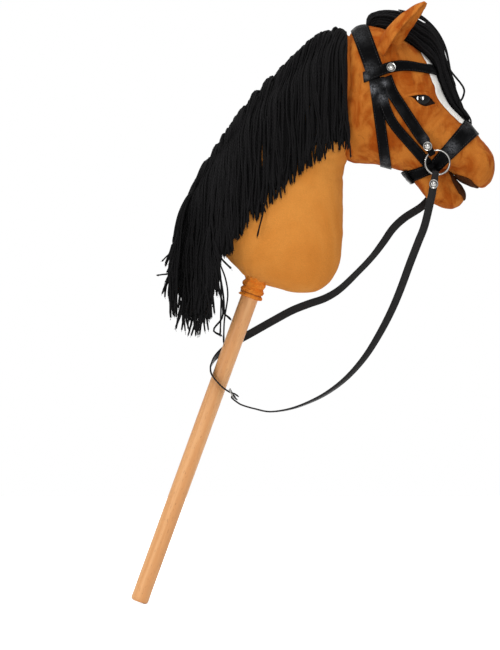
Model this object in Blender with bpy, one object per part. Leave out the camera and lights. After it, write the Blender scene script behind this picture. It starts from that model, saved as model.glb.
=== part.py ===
"""A hobby horse: a stuffed plush head and neck on a wooden stick, with a yarn mane and a bridle with reins.

Everything is in metres, +Z up. The origin is the middle of the stick's flat foot. The horse looks towards +X, its
near side is -Y, and the stick leans as a rider would hold it, so that mane and reins hang straight down.
Side-view points are millimetres (x, z) from the place where the stick enters the neck.
"""

import math

import bmesh
import bpy
import numpy as np
from mathutils import Matrix, Vector
from mathutils.bvhtree import BVHTree

MM = 0.001
NEAR = -1
FAR = 1

# Clearances, and how far out and in the rays for laid pieces start
FIT = 0.0003
LAY_GAP = 0.0005
PRESS_SAMPLES = 5
RAY_START = 0.25
PANEL_DEPTH = 0.02

# Stick and cuff
STICK_DIAMETER = 0.021
STICK_LEAN = math.radians(20.0)
STICK_OUT = 0.406
STICK_IN = 0.095
FOOT_ROUND = 0.004
CUFF_LENGTH = 0.024
CUFF_THICKNESS = 0.0028
CUFF_FOLDS = 3
TIE_DIAMETER = 0.0014

# Neck
NECK_OUTLINE = [
    (108, 295), (79, 283), (55, 265), (33, 244), (8, 220), (-15, 195), (-33, 168), (-48, 140), (-62, 118),
    (-72, 99), (-77, 82), (-67, 63), (-45, 40), (-28, 21), (-13, 7), (11, -4), (34, -12), (54, -14), (78, -10),
    (93, 4), (101, 23), (103, 49), (104, 96), (105, 130), (110, 150), (122, 203), (122, 263),
]
NECK_RIDGE = [(23, 63), (100, 236)]
NECK_HALF_WIDTHS = [0.052, 0.040]
NECK_FULLNESS = 0.92

# Head
HEAD_OUTLINE = [
    (134, 303), (160, 298), (180, 286), (197, 272), (208, 258), (216, 240), (223, 221), (233, 205), (248, 190),
    (265, 173), (277, 159), (285, 145), (285, 132), (280, 118), (272, 111), (263, 112), (248, 118), (227, 131),
    (208, 128), (188, 127), (172, 132), (149, 138), (129, 140), (110, 144), (98, 156), (96, 192), (102, 239),
    (108, 281), (118, 299),
]
HEAD_RIDGE = [(139, 217), (259, 145)]
HEAD_HALF_WIDTHS = [0.047, 0.033]
HEAD_FULLNESS = 0.86

# Lower jaw
JAW_OUTLINE = [
    (172, 146), (184, 125), (195, 110), (204, 98), (217, 89), (232, 86), (244, 90), (249, 99), (246, 110),
    (237, 122), (228, 133), (210, 148),
]
JAW_RIDGE = [(196, 130), (230, 104)]
JAW_HALF_WIDTHS = [0.022, 0.019]
JAW_FULLNESS = 0.86

# Mouth linings and blaze
LINING_THICKNESS = 0.0012
PALATE_LINE = [(234, 120), (263, 106)]
PALATE_WIDTHS = [0.026, 0.040]
JAW_LINING_LINE = [(233, 131), (242, 117), (248, 103)]
JAW_LINING_WIDTHS = [0.020, 0.030]
BLAZE_THICKNESS = 0.0010
BLAZE_LINE = [(200, 269), (212, 247), (219, 228), (228, 211), (245, 192), (256, 182)]
BLAZE_WIDTHS = [0.010, 0.030, 0.020]

# Ears
EAR_BASE = (158, 269)
EAR_TIP = (205, 333)
EAR_SPREAD = 0.66 * HEAD_HALF_WIDTHS[0]
EAR_LEAN = 0.005
EAR_WIDTHS = [0.020, 0.027, 0.029, 0.027, 0.022, 0.015, 0.006]
EAR_DEPTHS = [0.030, 0.027, 0.021, 0.017, 0.014, 0.010, 0.004]
EAR_CUP = 0.30

# Eyes
EYE_AT = (201, 215)
EYE_DIAMETER = 0.014
EYE_BULGE = 0.0045
EYE_SHANK = 0.0045
EYE_SHANK_LENGTH = 0.014
EYE_WASHER = 0.016
EYE_WASHER_THICKNESS = 0.0018
EYE_WASHER_DEPTH = 0.008
RIM_LENGTH = 0.030
RIM_HEIGHT = 0.0155
RIM_THICKNESS = 0.0010
RIM_TILT = math.radians(-17.0)

# Mane and forelock: roots on the crest and tips of the locks, side view
MANE_LOCKS = [
    (106, 113, 158), (88, 90, 152), (68, 70, 138), (48, 48, 120), (28, 28, 101), (10, 9, 68), (-8, -8, 50),
    (-26, -30, 38), (-40, -43, -50), (-52, -58, -62), (-64, -76, -60), (-73, -96, -16),
]
MANE_COLUMNS = 17
MANE_THICKNESS = 0.008
MANE_TIP_THICKNESS = 0.005
MANE_HUB_DEPTH = 0.026
MANE_PARTING = 4.0
CREST_POINTS = 9
FALL_POINTS = 12
TAPE_LINE = [(103, 292), (79, 283), (55, 265), (33, 244), (8, 220), (-15, 195), (-33, 168), (-48, 140), (-62, 118)]
TAPE_WIDTH = 0.012
TAPE_THICKNESS = 0.0010
FORELOCK_OUTLINE = [
    (139, 305), (141, 314), (152, 320), (168, 322), (182, 321), (199, 313), (216, 299), (226, 281), (231, 251),
    (239, 224), (246, 208), (252, 197), (241, 202), (226, 214), (214, 236), (204, 260), (188, 280), (168, 294),
    (150, 301),
]
FORELOCK_RIDGE = [(160, 309), (220, 262)]
FORELOCK_HALF_WIDTHS = [0.014, 0.013]
FORELOCK_FULLNESS = 0.9

# Bridle leather
STRAP_THICKNESS = 0.0018
CROWN_LINE = [(123, 303), (141, 252)]
CROWN_WIDTH = 0.022
BROW_LINE = [(129, 242), (215, 250)]
BROW_WIDTH = 0.013
BROW_RISE = 0.010
THROAT_LINE = [(155, 136), (140, 247)]
THROAT_WIDTH = 0.013
CHEEK_LINE = [(155, 243), (162, 225), (170, 212), (203, 162)]
CHEEK_WIDTH = 0.014
HEADSTRAP_LINE = [(147, 242), (150, 224), (156, 202), (166, 184), (184, 163), (205, 139)]
HEADSTRAP_WIDTH = 0.012
NOSE_LINE = [(256, 182), (211, 134)]
NOSE_WIDTHS = [0.025, 0.015]
CHIN_LINE = [(177, 122), (213, 135)]
CHIN_WIDTHS = [0.015, 0.012]
CHIN_LAP_WIDTH = 0.017
CHIN_LAP_THICKNESS = 0.0028

# Rings, rivets and rein ends
RING_AT = (216, 141)
RING_RADIUS = 0.0145
RING_WIRE = 0.0025
FOLD_WIDTH = 0.008
CHEEK_FOLD_BEARING = (-0.524, 0.852)
REIN_FOLD_BEARING = (-0.174, -0.985)
RING_TURN = math.radians(45.0)
STUD_DIAMETER = 0.011
STUD_HEIGHT = 0.003
STUD_SHANK = 0.003
BROW_STUD_AT = (161, 254)
CHEEK_STUD_BACK = 0.0080
CHEEK_ARM = 0.016
REIN_STUD_BACK = 0.0115
REIN_ARM = 0.020
INNER_ARM = 0.015

# Reins: the route of each stretch as (x, y, z, turn), millimetres and degrees, chosen by hand. A strap shows its face
# to the side at no turn and its edge at 90 degrees.
REIN_WIDTH = 0.0095
REIN_THICKNESS = 0.0018
REIN_LEAD = 0.006
REIN_POINTS = 60
REIN_NEAR_ROUTE = [
    (201, -47, 67, 0), (193, -45, 46, 0), (183, -42, 20, 6), (172, -39, -10, 14), (161, -35, -36, 24),
    (147, -31, -63, 34), (130, -28, -90, 45), (109, -25, -114, 57), (86, -22, -132, 68), (63, -20, -144, 77),
    (40, -18, -152, 84), (17, -17, -155, 90), (-1, -16.5, -151.5, 90),
]
REIN_FAR_ROUTE = [
    (198, 47, 89, 0), (178, 44, 76, 4), (164, 42, 63, 14), (152, 41, 46, 30), (139, 39, 29, 42), (122, 37, 11, 44),
    (101, 34, -9, 34), (83, 31, -20, 20), (63, 28, -27, 8), (43, 25, -35, 0), (19, 20, -48, 0), (-4, 16, -61, 0),
    (-22, 14, -71, 4), (-38, 12.5, -82, 32), (-48, 7, -91, 62), (-53, 0, -100, 88), (-53, -8, -108, 90),
    (-50, -14.5, -114, 90), (-45, -16.5, -120, 90),
]

# Rein buckle: a place on the near rein, and stations (along, up) from there, millimetres
BUCKLE_AT = (-21, -142)
BUCKLE_Y = -0.0165
BUCKLE_BEARING = (-0.79, 0.61)
BUCKLE_WIRE = 0.0015
BUCKLE_BAR = 7
BUCKLE_LENGTH = 9
BUCKLE_RISE = 4
BUCKLE_PLAY = 0.0008
CHAPE_STATIONS = [(-11.8, 0.6), (-5, -1.6)]
CHAPE_ARM = 0.0065
TAIL_STATIONS = [(24, 1.6), (16, 1.9), (11.5, 2.9), (7, 4.3), (1.5, 4.3)]
PRONG_WIRE = 0.0011
PRONG_OVER = 0.0015
SLOT_WIDTH = 0.0022
SLOT_SPAN = (6.4, 13.5)

# Colours: red, green, blue, roughness, metallic
FINISHES = {
    "stick_beech": (0.78, 0.40, 0.16, 0.45, 0.0),
    "plush_neck": (0.62, 0.26, 0.06, 0.85, 0.0),
    "plush_head": (0.52, 0.16, 0.02, 0.85, 0.0),
    "plush_cuff": (0.56, 0.17, 0.01, 0.85, 0.0),
    "mouth_felt": (0.06, 0.025, 0.012, 0.95, 0.0),
    "blaze_plush": (0.80, 0.77, 0.72, 0.90, 0.0),
    "mane_yarn": (0.008, 0.008, 0.008, 0.95, 0.0),
    "bridle_leather": (0.012, 0.012, 0.013, 0.40, 0.0),
    "bright_metal": (0.80, 0.79, 0.76, 0.18, 1.0),
    "eye_gloss": (0.005, 0.004, 0.004, 0.06, 0.0),
    "rim_felt": (0.012, 0.006, 0.004, 0.80, 0.0),
    "washer_plastic": (0.70, 0.70, 0.68, 0.50, 0.0),
}


def clear_scene():
    """Starts from an empty scene."""
    for found in list(bpy.data.objects):
        bpy.data.objects.remove(found, do_unlink=True)


def finish_of(name):
    """The Principled material of that name, made the first time it is asked for."""
    if name in bpy.data.materials:
        return bpy.data.materials[name]
    red, green, blue, roughness, metallic = FINISHES[name]
    material = bpy.data.materials.new(name)
    material.use_nodes = True
    shader = material.node_tree.nodes["Principled BSDF"]
    shader.inputs["Base Color"].default_value = (red, green, blue, 1.0)
    shader.inputs["Roughness"].default_value = roughness
    shader.inputs["Metallic"].default_value = metallic
    material.diffuse_color = (red, green, blue, 1.0)
    return material


def add_piece(name, points, faces, finish, origin=None, smooth=True):
    """A named object of these points and faces, facing outwards, with its origin at the given point."""
    origin = Vector(origin) if origin is not None else Vector((0.0, 0.0, 0.0))
    build = bmesh.new()
    corners = [build.verts.new(Vector(point) - origin) for point in points]
    for face in faces:
        build.faces.new([corners[index] for index in face])
    bmesh.ops.recalc_face_normals(build, faces=build.faces)
    mesh = bpy.data.meshes.new(name)
    build.to_mesh(mesh)
    build.free()
    mesh.materials.append(finish_of(finish))
    if smooth:
        mesh.shade_smooth()
        mesh.set_sharp_from_angle(angle=math.radians(40.0))
    piece = bpy.data.objects.new(name, mesh)
    piece.location = origin
    bpy.context.scene.collection.objects.link(piece)
    return piece


def boolean(piece, cutter, operation="DIFFERENCE"):
    """A Boolean modifier of the piece, with the cutter kept out of the model."""
    cutter.hide_render = True
    cutter.display_type = "WIRE"
    step = piece.modifiers.new(cutter.name, "BOOLEAN")
    step.operation = operation
    step.solver = "EXACT"
    step.object = cutter


def world_points(piece):
    """The piece's points in world space, as an array."""
    values = np.empty(len(piece.data.vertices) * 3)
    piece.data.vertices.foreach_get("co", values)
    return values.reshape(-1, 3) + np.array(piece.location)


def grown(piece, by, name):
    """A cutter: the piece with every point moved outwards by that much."""
    points = world_points(piece)
    normals = np.array([vertex.normal[:] for vertex in piece.data.vertices])
    faces = [list(polygon.vertices) for polygon in piece.data.polygons]
    return add_piece(name, points + normals * by, faces, "rim_felt", smooth=False)


# Where the side view sits in the world

STICK_DIRECTION = Vector((math.sin(STICK_LEAN), 0.0, math.cos(STICK_LEAN)))
ENTRY = STICK_DIRECTION * STICK_OUT


def side_point(spot, y=0.0):
    """The world point of a side-view spot (x, z), given in millimetres, at y metres across."""
    return np.array([ENTRY.x + spot[0] * MM, y, ENTRY.z + spot[1] * MM])


def side_direction(bearing):
    """The world direction of a side-view bearing (x, z), as a unit vector."""
    found = np.array([bearing[0], 0.0, bearing[1]], dtype=float)
    return found / np.linalg.norm(found)


def unit(vectors):
    """The same vectors at length 1."""
    return vectors / np.linalg.norm(vectors, axis=-1, keepdims=True)


def smooth_path(points, count, closed=False):
    """A Catmull-Rom curve through the points, resampled to evenly spaced ones."""
    points = np.array(points, dtype=float)
    total = len(points)
    if closed:
        padded = np.vstack([points[-1], points, points[0], points[1]])
        spans = total
    else:
        first = 2.0 * points[0] - points[1]
        last = 2.0 * points[-1] - points[-2]
        padded = np.vstack([first, points, last])
        spans = total - 1
    ratio = np.linspace(0.0, 1.0, 16, endpoint=False)[:, None]
    fine = []
    for span in range(spans):
        a, b, c, d = padded[span:span + 4]
        bend = 2.0 * a - 5.0 * b + 4.0 * c - d
        twist = -a + 3.0 * b - 3.0 * c + d
        fine.append(0.5 * (2.0 * b + (c - a) * ratio + bend * ratio ** 2 + twist * ratio ** 3))
    fine = np.vstack(fine + [points[:1] if closed else points[-1:]])
    steps = np.linalg.norm(np.diff(fine, axis=0), axis=1)
    run = np.concatenate([[0.0], np.cumsum(steps)])
    wanted = np.linspace(0.0, run[-1], count, endpoint=not closed)
    return np.stack([np.interp(wanted, run, fine[:, axis]) for axis in range(fine.shape[1])], axis=1)


# Stuffed forms


def stuffed(name, outline, ridge, half_widths, fullness, finish, around=40, rings=5, middle=0.0):
    """A sewn and filled form: from every outline point a rib swells out to the ridge line on either side.

    A rib at angle t reaches cos(t) ** fullness of the way out and stands sin(t) ** fullness of the half width up.
    """
    border = smooth_path([side_point(spot) for spot in outline], around, closed=True)
    start, end = (side_point(spot) for spot in ridge)
    along = end - start
    share = np.clip((border - start) @ along / (along @ along), 0.0, 1.0)
    keel = start + share[:, None] * along
    swell = np.interp(share, np.linspace(0.0, 1.0, len(half_widths)), half_widths)
    points = [border + np.array([0.0, middle, 0.0])]
    last = math.radians(84.0)
    for side in (NEAR, FAR):
        for ring in range(1, rings + 1):
            angle = last * ring / rings
            reach = math.cos(angle) ** fullness
            height = math.sin(angle) ** fullness
            level = keel + (border - keel) * reach
            level[:, 1] = middle + side * swell * height
            points.append(level)
    faces = []
    step = np.arange(around)
    after = (step + 1) % around
    for side in range(2):
        below = 0
        for ring in range(1, rings + 1):
            here = side * rings + ring
            for i, j in zip(step, after):
                faces.append([below * around + i, below * around + j, here * around + j, here * around + i])
            below = here
        faces.append([below * around + i for i in step])
    piece = add_piece(name, np.vstack(points), faces, finish)
    crown_faces(piece)
    return piece


def crown_faces(piece):
    """Splits the many-sided faces on the ridge into triangles."""
    build = bmesh.new()
    build.from_mesh(piece.data)
    many = [face for face in build.faces if len(face.verts) > 4]
    bmesh.ops.triangulate(build, faces=many, quad_method="BEAUTY", ngon_method="BEAUTY")
    build.to_mesh(piece.data)
    build.free()


# Turned forms


def turned(name, profile, base, axis, finish, sides=24, hollow=False):
    """A turned form: (radius, height) stations spun about an axis. A hollow one is a closed ring in section."""
    axis = Vector(axis).normalized()
    across = axis.orthogonal().normalized()
    up = axis.cross(across)
    points = []
    for radius, height in profile:
        for index in range(sides):
            angle = 2.0 * math.pi * index / sides
            spoke = across * math.cos(angle) + up * math.sin(angle)
            points.append(Vector(base) + axis * height + spoke * radius)
    faces = []
    levels = len(profile)
    for level in range(levels if hollow else levels - 1):
        above = (level + 1) % levels
        for index in range(sides):
            beside = (index + 1) % sides
            faces.append([level * sides + index, level * sides + beside, above * sides + beside, above * sides + index])
    if not hollow:
        faces.append(list(range(sides)))
        faces.append([(levels - 1) * sides + index for index in range(sides)])
    return add_piece(name, points, faces, finish, origin=base)


def wire_ring(name, centre, normal, radius, wire, finish, origin, sides=32, around=8):
    """A round wire ring: a small circle carried round a large one."""
    turn = np.linspace(0.0, 2.0 * math.pi, around, endpoint=False)
    profile = [(radius + wire / 2 * math.cos(t), wire / 2 * math.sin(t)) for t in turn]
    ring = turned(name, profile, centre, normal, finish, sides=sides, hollow=True)
    move_origin(ring, origin)
    return ring


def move_origin(piece, origin):
    """Puts the piece's origin at a world point and leaves its shape where it is."""
    shift = Vector(piece.location) - Vector(origin)
    piece.data.transform(Matrix.Translation(shift))
    piece.location = Vector(origin)


# Sheets and straps


def slab(name, middle, normals, thickness, finish, origin=None):
    """A sheet with a thickness: a grid of points, a face on either side of it and the rim that closes them."""
    rows, columns = middle.shape[:2]
    thickness = np.broadcast_to(thickness, (rows, columns))[..., None]
    top = (middle + normals * thickness / 2).reshape(-1, 3)
    bottom = (middle - normals * thickness / 2).reshape(-1, 3)
    under = rows * columns
    faces = []
    for i in range(rows - 1):
        for j in range(columns - 1):
            a, b = i * columns + j, (i + 1) * columns + j
            faces.append([a, a + 1, b + 1, b])
            faces.append([under + a, under + b, under + b + 1, under + a + 1])
    rim = [j for j in range(columns)]
    rim += [i * columns + columns - 1 for i in range(1, rows)]
    rim += [(rows - 1) * columns + j for j in range(columns - 2, -1, -1)]
    rim += [i * columns for i in range(rows - 2, 0, -1)]
    for a, b in zip(rim, rim[1:] + rim[:1]):
        faces.append([a, under + a, under + b, b])
    return add_piece(name, np.vstack([top, bottom]), faces, finish, origin=origin)


def sheet_normals(middle, outward):
    """The unit normals of a grid of points, on the outward side."""
    along = np.gradient(middle, axis=0)
    across = np.gradient(middle, axis=1)
    normals = unit(np.cross(along, across))
    sign = np.sign(np.sum(normals * outward, axis=-1, keepdims=True))
    return normals * np.where(sign == 0.0, 1.0, sign)


def skin(pieces):
    """One search tree over the faces of these pieces."""
    points = []
    faces = []
    for piece in pieces:
        base = len(points)
        points += [Vector(point) for point in world_points(piece)]
        faces += [[base + index for index in polygon.vertices] for polygon in piece.data.polygons]
    return BVHTree.FromPolygons(points, faces)


def heights_over(tree, centres, outward, reach=RAY_START):
    """How far along its outward direction each centre lies under the surface; a miss is not a number."""
    heights = np.full(centres.shape[:2], np.nan)
    for index in np.ndindex(*centres.shape[:2]):
        direction = Vector(outward[index])
        start = Vector(centres[index]) + direction * reach
        spot = tree.ray_cast(start, -direction)[0]
        if spot is not None:
            heights[index] = (spot - Vector(centres[index])).dot(direction)
    return heights


def fill_misses(heights):
    """Gives each miss the height of the nearest row above it, and the first rows that of the first hit."""
    for column in heights.T:
        known = np.flatnonzero(~np.isnan(column))
        column[:] = np.interp(np.arange(len(column)), known, column[known])
    return heights


def pull_taut(centres, outward, heights, rounds=40):
    """Bridges hollows as a tight strap does: a point rises to the chord between its neighbours, never below the skin."""
    raw = heights.copy()
    for _ in range(rounds):
        points = centres + outward * heights[..., None]
        chord = (points[:-2] + points[2:]) / 2
        lifted = np.sum((chord - centres[1:-1]) * outward[1:-1], axis=-1)
        heights[1:-1] = np.maximum(raw[1:-1], lifted)
    return heights


def press_clear(middle, outward, tree, need, rounds=8):
    """Moves the sheet out until all of it, also between its points, is that far above what it lies on."""
    steps = np.linspace(0.0, 1.0, PRESS_SAMPLES)
    shares = [(a, b) for a in steps for b in steps]
    for _ in range(rounds):
        push = np.zeros(middle.shape[:2])
        for i in range(middle.shape[0] - 1):
            for j in range(middle.shape[1] - 1):
                lack = 0.0
                for a, b in shares:
                    left = middle[i, j] * (1 - a) + middle[i + 1, j] * a
                    right = middle[i, j + 1] * (1 - a) + middle[i + 1, j + 1] * a
                    spot = Vector(left * (1 - b) + right * b)
                    nearest, normal, _, apart = tree.find_nearest(spot)
                    sunk = (spot - nearest).dot(normal) < -0.3 * apart
                    lack = max(lack, need + apart if sunk else need - apart)
                window = push[i:i + 2, j:j + 2]
                np.maximum(window, lack, out=window)
        if push.max() <= 0.0:
            break
        middle = middle + outward * push[..., None]
    return middle


def laid_sheet(name, centres, outward, under, thickness, finish, taut=40, origin=None):
    """A strap or panel laid on pieces that are already there, along rays that come in from outside."""
    tree = skin(under)
    heights = fill_misses(heights_over(tree, centres, outward))
    heights = pull_taut(centres, outward, heights, taut)
    middle = centres + outward * (heights + LAY_GAP + thickness / 2)[..., None]
    middle = press_clear(middle, outward, tree, LAY_GAP + thickness / 2)
    return slab(name, middle, sheet_normals(middle, outward), thickness, finish, origin)


def wrap_rays(line, widths, rows, columns, under, rise=0.0, full_turn=True):
    """Rays for a band that goes round the head, from its near end over line's start to its far end.

    The line runs in the side view from the place where the band crosses the middle to its end. The rays all come in
    towards a point a little beyond that end, and are spaced evenly along the band.
    """
    start, end = (side_point(spot) for spot in line)
    outwards = unit(start - end)
    sideways = np.array([-outwards[2], 0.0, outwards[0]])
    length = np.linalg.norm(end - start)
    centre = end
    tree = skin(under)
    angles = np.radians(np.arange(0.0, 140.0, 1.5))
    fan = outwards * np.cos(angles)[:, None] + np.array([0.0, NEAR, 0.0]) * np.sin(angles)[:, None]
    heights = heights_over(tree, np.tile(centre, (len(fan), 1, 1)), fan[:, None, :])[:, 0]
    curve = centre + fan * heights[:, None]
    forward = (curve - centre) @ outwards
    last = int(np.argmax(forward <= 0.0))
    curve = curve[:last + 1]
    run = np.concatenate([[0.0], np.cumsum(np.linalg.norm(np.diff(curve, axis=0), axis=1))])
    half = np.interp(np.linspace(0.0, run[-1], rows // 2 + 1), run, angles[:last + 1])
    turn = np.concatenate([-half[:0:-1], half]) if full_turn else half
    outward = outwards * np.cos(turn)[:, None] + np.array([0.0, NEAR, 0.0]) * np.sin(turn)[:, None]
    share = np.interp(np.abs(turn), half, np.linspace(0.0, 1.0, len(half)))
    width = np.interp(share, np.linspace(0.0, 1.0, len(widths)), widths)
    forward = np.interp(np.abs(turn), angles[:last + 1], (curve - centre) @ outwards)
    shift = rise * np.sin(math.pi * np.clip(forward / length, 0.0, 1.0))
    across = np.linspace(-0.5, 0.5, columns)
    offset = width[:, None] * across + shift[:, None]
    centres = centre + sideways * offset[..., None]
    return centres, np.broadcast_to(outward[:, None, :], centres.shape).copy()


def side_rays(line, width, rows, columns, side):
    """Rays for a strap on one side of the head, along a side-view line, square to the side view."""
    path = smooth_path([side_point(spot) for spot in line], rows)
    along = unit(np.gradient(path, axis=0))
    sideways = np.stack([-along[:, 2], np.zeros(rows), along[:, 0]], axis=1)
    across = np.linspace(-0.5, 0.5, columns)
    width = np.broadcast_to(width, rows)
    centres = path[:, None, :] + sideways[:, None, :] * (width[:, None] * across)[..., None]
    outward = np.zeros_like(centres)
    outward[..., 1] = side
    return centres, outward


def ridge_rays(line, widths, rows, columns, depth, flip=False):
    """Rays for a panel that straddles the middle of the head along a side-view line, square to that line."""
    path = smooth_path([side_point(spot) for spot in line], rows)
    along = unit(np.gradient(path, axis=0))
    outwards = np.stack([-along[:, 2], np.zeros(rows), along[:, 0]], axis=1)
    if flip:
        outwards = -outwards
    width = np.interp(np.linspace(0.0, 1.0, rows), np.linspace(0.0, 1.0, len(widths)), widths)
    across = np.linspace(-0.5, 0.5, columns)
    offset = np.zeros((rows, columns, 3))
    offset[..., 1] = width[:, None] * across
    centres = path[:, None, :] - outwards[:, None, :] * depth + offset
    return centres, np.broadcast_to(outwards[:, None, :], centres.shape).copy()


def side_name(name, side):
    """The name of the near or far one of a pair."""
    return name + ("_near" if side == NEAR else "_far")


# Stick, cuff and tie


def make_stick():
    """A beech dowel with a rounded edge at its flat foot."""
    radius = STICK_DIAMETER / 2
    length = STICK_OUT + STICK_IN
    edge = []
    for step in range(4):
        angle = math.radians(90.0) * step / 3
        edge.append((radius - FOOT_ROUND * (1 - math.sin(angle)), FOOT_ROUND * (1 - math.cos(angle))))
    top = [(radius, length - FOOT_ROUND / 4), (radius - FOOT_ROUND / 4, length)]
    return turned("stick", edge + top, (0.0, 0.0, 0.0), STICK_DIRECTION, "stick_beech", sides=28)


def make_cuff(neck_cutter):
    """A plush sleeve bunched in folds at the neck's mouth, and the cord that ties it to the stick."""
    inner = STICK_DIAMETER / 2 + FIT
    waist = inner + CUFF_THICKNESS * 0.45
    outer = inner + CUFF_THICKNESS
    base = ENTRY - STICK_DIRECTION * CUFF_LENGTH
    reach = CUFF_LENGTH + 0.010
    profile = [(inner, 0.0)]
    steps = CUFF_FOLDS * 6
    for step in range(steps + 1):
        wave = abs(math.sin(math.pi * CUFF_FOLDS * step / steps)) ** 0.7
        profile.append((waist + (outer - waist) * wave, CUFF_LENGTH * step / steps))
    profile += [(waist, reach), (inner, reach)]
    cuff = turned("cuff", profile, base, STICK_DIRECTION, "plush_cuff", sides=24, hollow=True)
    boolean(cuff, neck_cutter)
    groove = base + STICK_DIRECTION * (CUFF_LENGTH / CUFF_FOLDS)
    tie_radius = waist + 0.0008 + TIE_DIAMETER / 2
    wire_ring("cuff_tie", groove, STICK_DIRECTION, tie_radius, TIE_DIAMETER, "mouth_felt", groove, sides=24, around=6)
    return cuff


def make_neck(stick):
    """The stuffed neck, with the hole that holds the stick."""
    neck = stuffed("neck", NECK_OUTLINE, NECK_RIDGE, NECK_HALF_WIDTHS, NECK_FULLNESS, "plush_neck", around=44)
    boolean(neck, grown(stick, FIT, "stick_hole"))
    return neck


# Ears


def make_ear(side, head_cutter):
    """A cupped leaf: crescent sections carried from the base to the tip, hollow to the front."""
    base = side_point(EAR_BASE, side * EAR_SPREAD)
    tip = side_point(EAR_TIP, side * (EAR_SPREAD + EAR_LEAN))
    rows = len(EAR_WIDTHS)
    around = 16
    along = unit(tip - base)
    front = unit(np.cross(np.array([0.0, 1.0, 0.0]), along))
    front = front if front[0] > 0 else -front
    points = []
    for row in range(rows):
        share = row / (rows - 1)
        middle = base + (tip - base) * share - front * 0.004 * math.sin(math.pi * share)
        for step in range(around):
            angle = 2.0 * math.pi * step / around
            leaf = math.cos(angle) * EAR_WIDTHS[row] / 2
            thick = math.sin(angle) * EAR_DEPTHS[row] / 2
            cup = EAR_CUP * EAR_DEPTHS[row] * (2.0 * leaf / EAR_WIDTHS[row]) ** 2
            hollow = 0.62 if thick > 0 else 1.0
            spot = middle + front * (thick * hollow + cup) + np.array([0.0, 1.0, 0.0]) * leaf
            points.append(spot)
    faces = []
    for row in range(rows - 1):
        for step in range(around):
            beside = (step + 1) % around
            faces.append([row * around + step, row * around + beside,
                          (row + 1) * around + beside, (row + 1) * around + step])
    faces.append(list(range(around)))
    faces.append([(rows - 1) * around + step for step in range(around)])
    ear = add_piece(side_name("ear", side), points, faces, "plush_head")
    boolean(ear, head_cutter)
    return ear


# Eyes


def eye_frame(side, head_tree):
    """The place of an eye on the head's skin and the direction it looks in."""
    spot, normal, _, _ = head_tree.ray_cast(Vector(side_point(EYE_AT, side * RAY_START)), Vector((0.0, -side, 0.0)))
    return spot, normal


def make_eye(side, head):
    """A safety eye: a domed cap with a shank through the felt rim and the plush, held by a washer inside."""
    spot, normal = eye_frame(side, skin([head]))
    seat = spot + normal * (2 * LAY_GAP + RIM_THICKNESS)
    radius = EYE_DIAMETER / 2
    shank = EYE_SHANK / 2
    profile = [(shank, -EYE_SHANK_LENGTH), (shank, 0.0), (radius * 0.94, 0.0), (radius, 0.0008)]
    for step in range(1, 5):
        angle = math.radians(80.0) * step / 4
        profile.append((radius * math.cos(angle), 0.0008 + EYE_BULGE * math.sin(angle)))
    eye = turned(side_name("eye", side), profile, seat, normal, "eye_gloss", sides=20)
    washer_at = spot - normal * EYE_WASHER_DEPTH
    outer = EYE_WASHER / 2
    bore = shank + FIT
    ring = [(bore, 0.0), (outer, 0.0), (outer, EYE_WASHER_THICKNESS), (bore, EYE_WASHER_THICKNESS)]
    turned(side_name("eye_washer", side), ring, washer_at, normal, "washer_plastic", sides=20, hollow=True)
    pocket = [
        (shank + FIT, -EYE_SHANK_LENGTH - FIT), (shank + FIT, -FIT - EYE_WASHER_DEPTH),
        (outer + FIT, -FIT - EYE_WASHER_DEPTH), (outer + FIT, FIT + EYE_WASHER_THICKNESS - EYE_WASHER_DEPTH),
        (shank + FIT, FIT + EYE_WASHER_THICKNESS - EYE_WASHER_DEPTH), (shank + FIT, EYE_BULGE),
    ]
    boolean(head, turned(side_name("eye_pocket", side), pocket, spot, normal, "rim_felt", sides=20))
    make_rim(side, head, spot, normal)
    return eye


def make_rim(side, head, spot, normal):
    """The dark almond of felt behind the eye, with the hole for its shank."""
    rows = 24
    rays = 3
    turn = np.linspace(0.0, 2.0 * math.pi, rows, endpoint=False)
    long_axis = side_direction((math.cos(RIM_TILT), math.sin(RIM_TILT)))
    up_axis = side_direction((-math.sin(RIM_TILT), math.cos(RIM_TILT)))
    reach = RIM_LENGTH / 2 * np.cos(turn)
    rise = RIM_HEIGHT / 2 * np.sin(turn) * np.abs(np.sin(turn)) ** 0.4
    hole = EYE_SHANK / 2 + 3 * FIT
    inner = hole * (np.cos(turn)[:, None] * long_axis + np.sin(turn)[:, None] * up_axis)
    outer = reach[:, None] * long_axis + rise[:, None] * up_axis
    share = np.linspace(0.0, 1.0, rays)[None, :, None]
    flat = inner[:, None, :] * (1 - share) + outer[:, None, :] * share
    centres = side_point(EYE_AT) + flat
    outward = np.zeros_like(centres)
    outward[..., 1] = side
    heights = heights_over(skin([head]), centres, outward)
    level = centres + outward * heights[..., None]
    facing = np.array(normal)
    bottom = level + facing * LAY_GAP
    top = bottom + facing * RIM_THICKNESS
    points = np.concatenate([top.reshape(-1, 3), bottom.reshape(-1, 3)])
    under = rows * rays
    faces = []
    for i in range(rows):
        k = (i + 1) % rows
        for j in range(rays - 1):
            faces.append([i * rays + j, i * rays + j + 1, k * rays + j + 1, k * rays + j])
            faces.append([under + i * rays + j, under + k * rays + j,
                          under + k * rays + j + 1, under + i * rays + j + 1])
        for j in (0, rays - 1):
            faces.append([i * rays + j, under + i * rays + j, under + k * rays + j, k * rays + j])
    add_piece(side_name("eye_rim", side), points, faces, "rim_felt")


# Rivets


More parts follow.
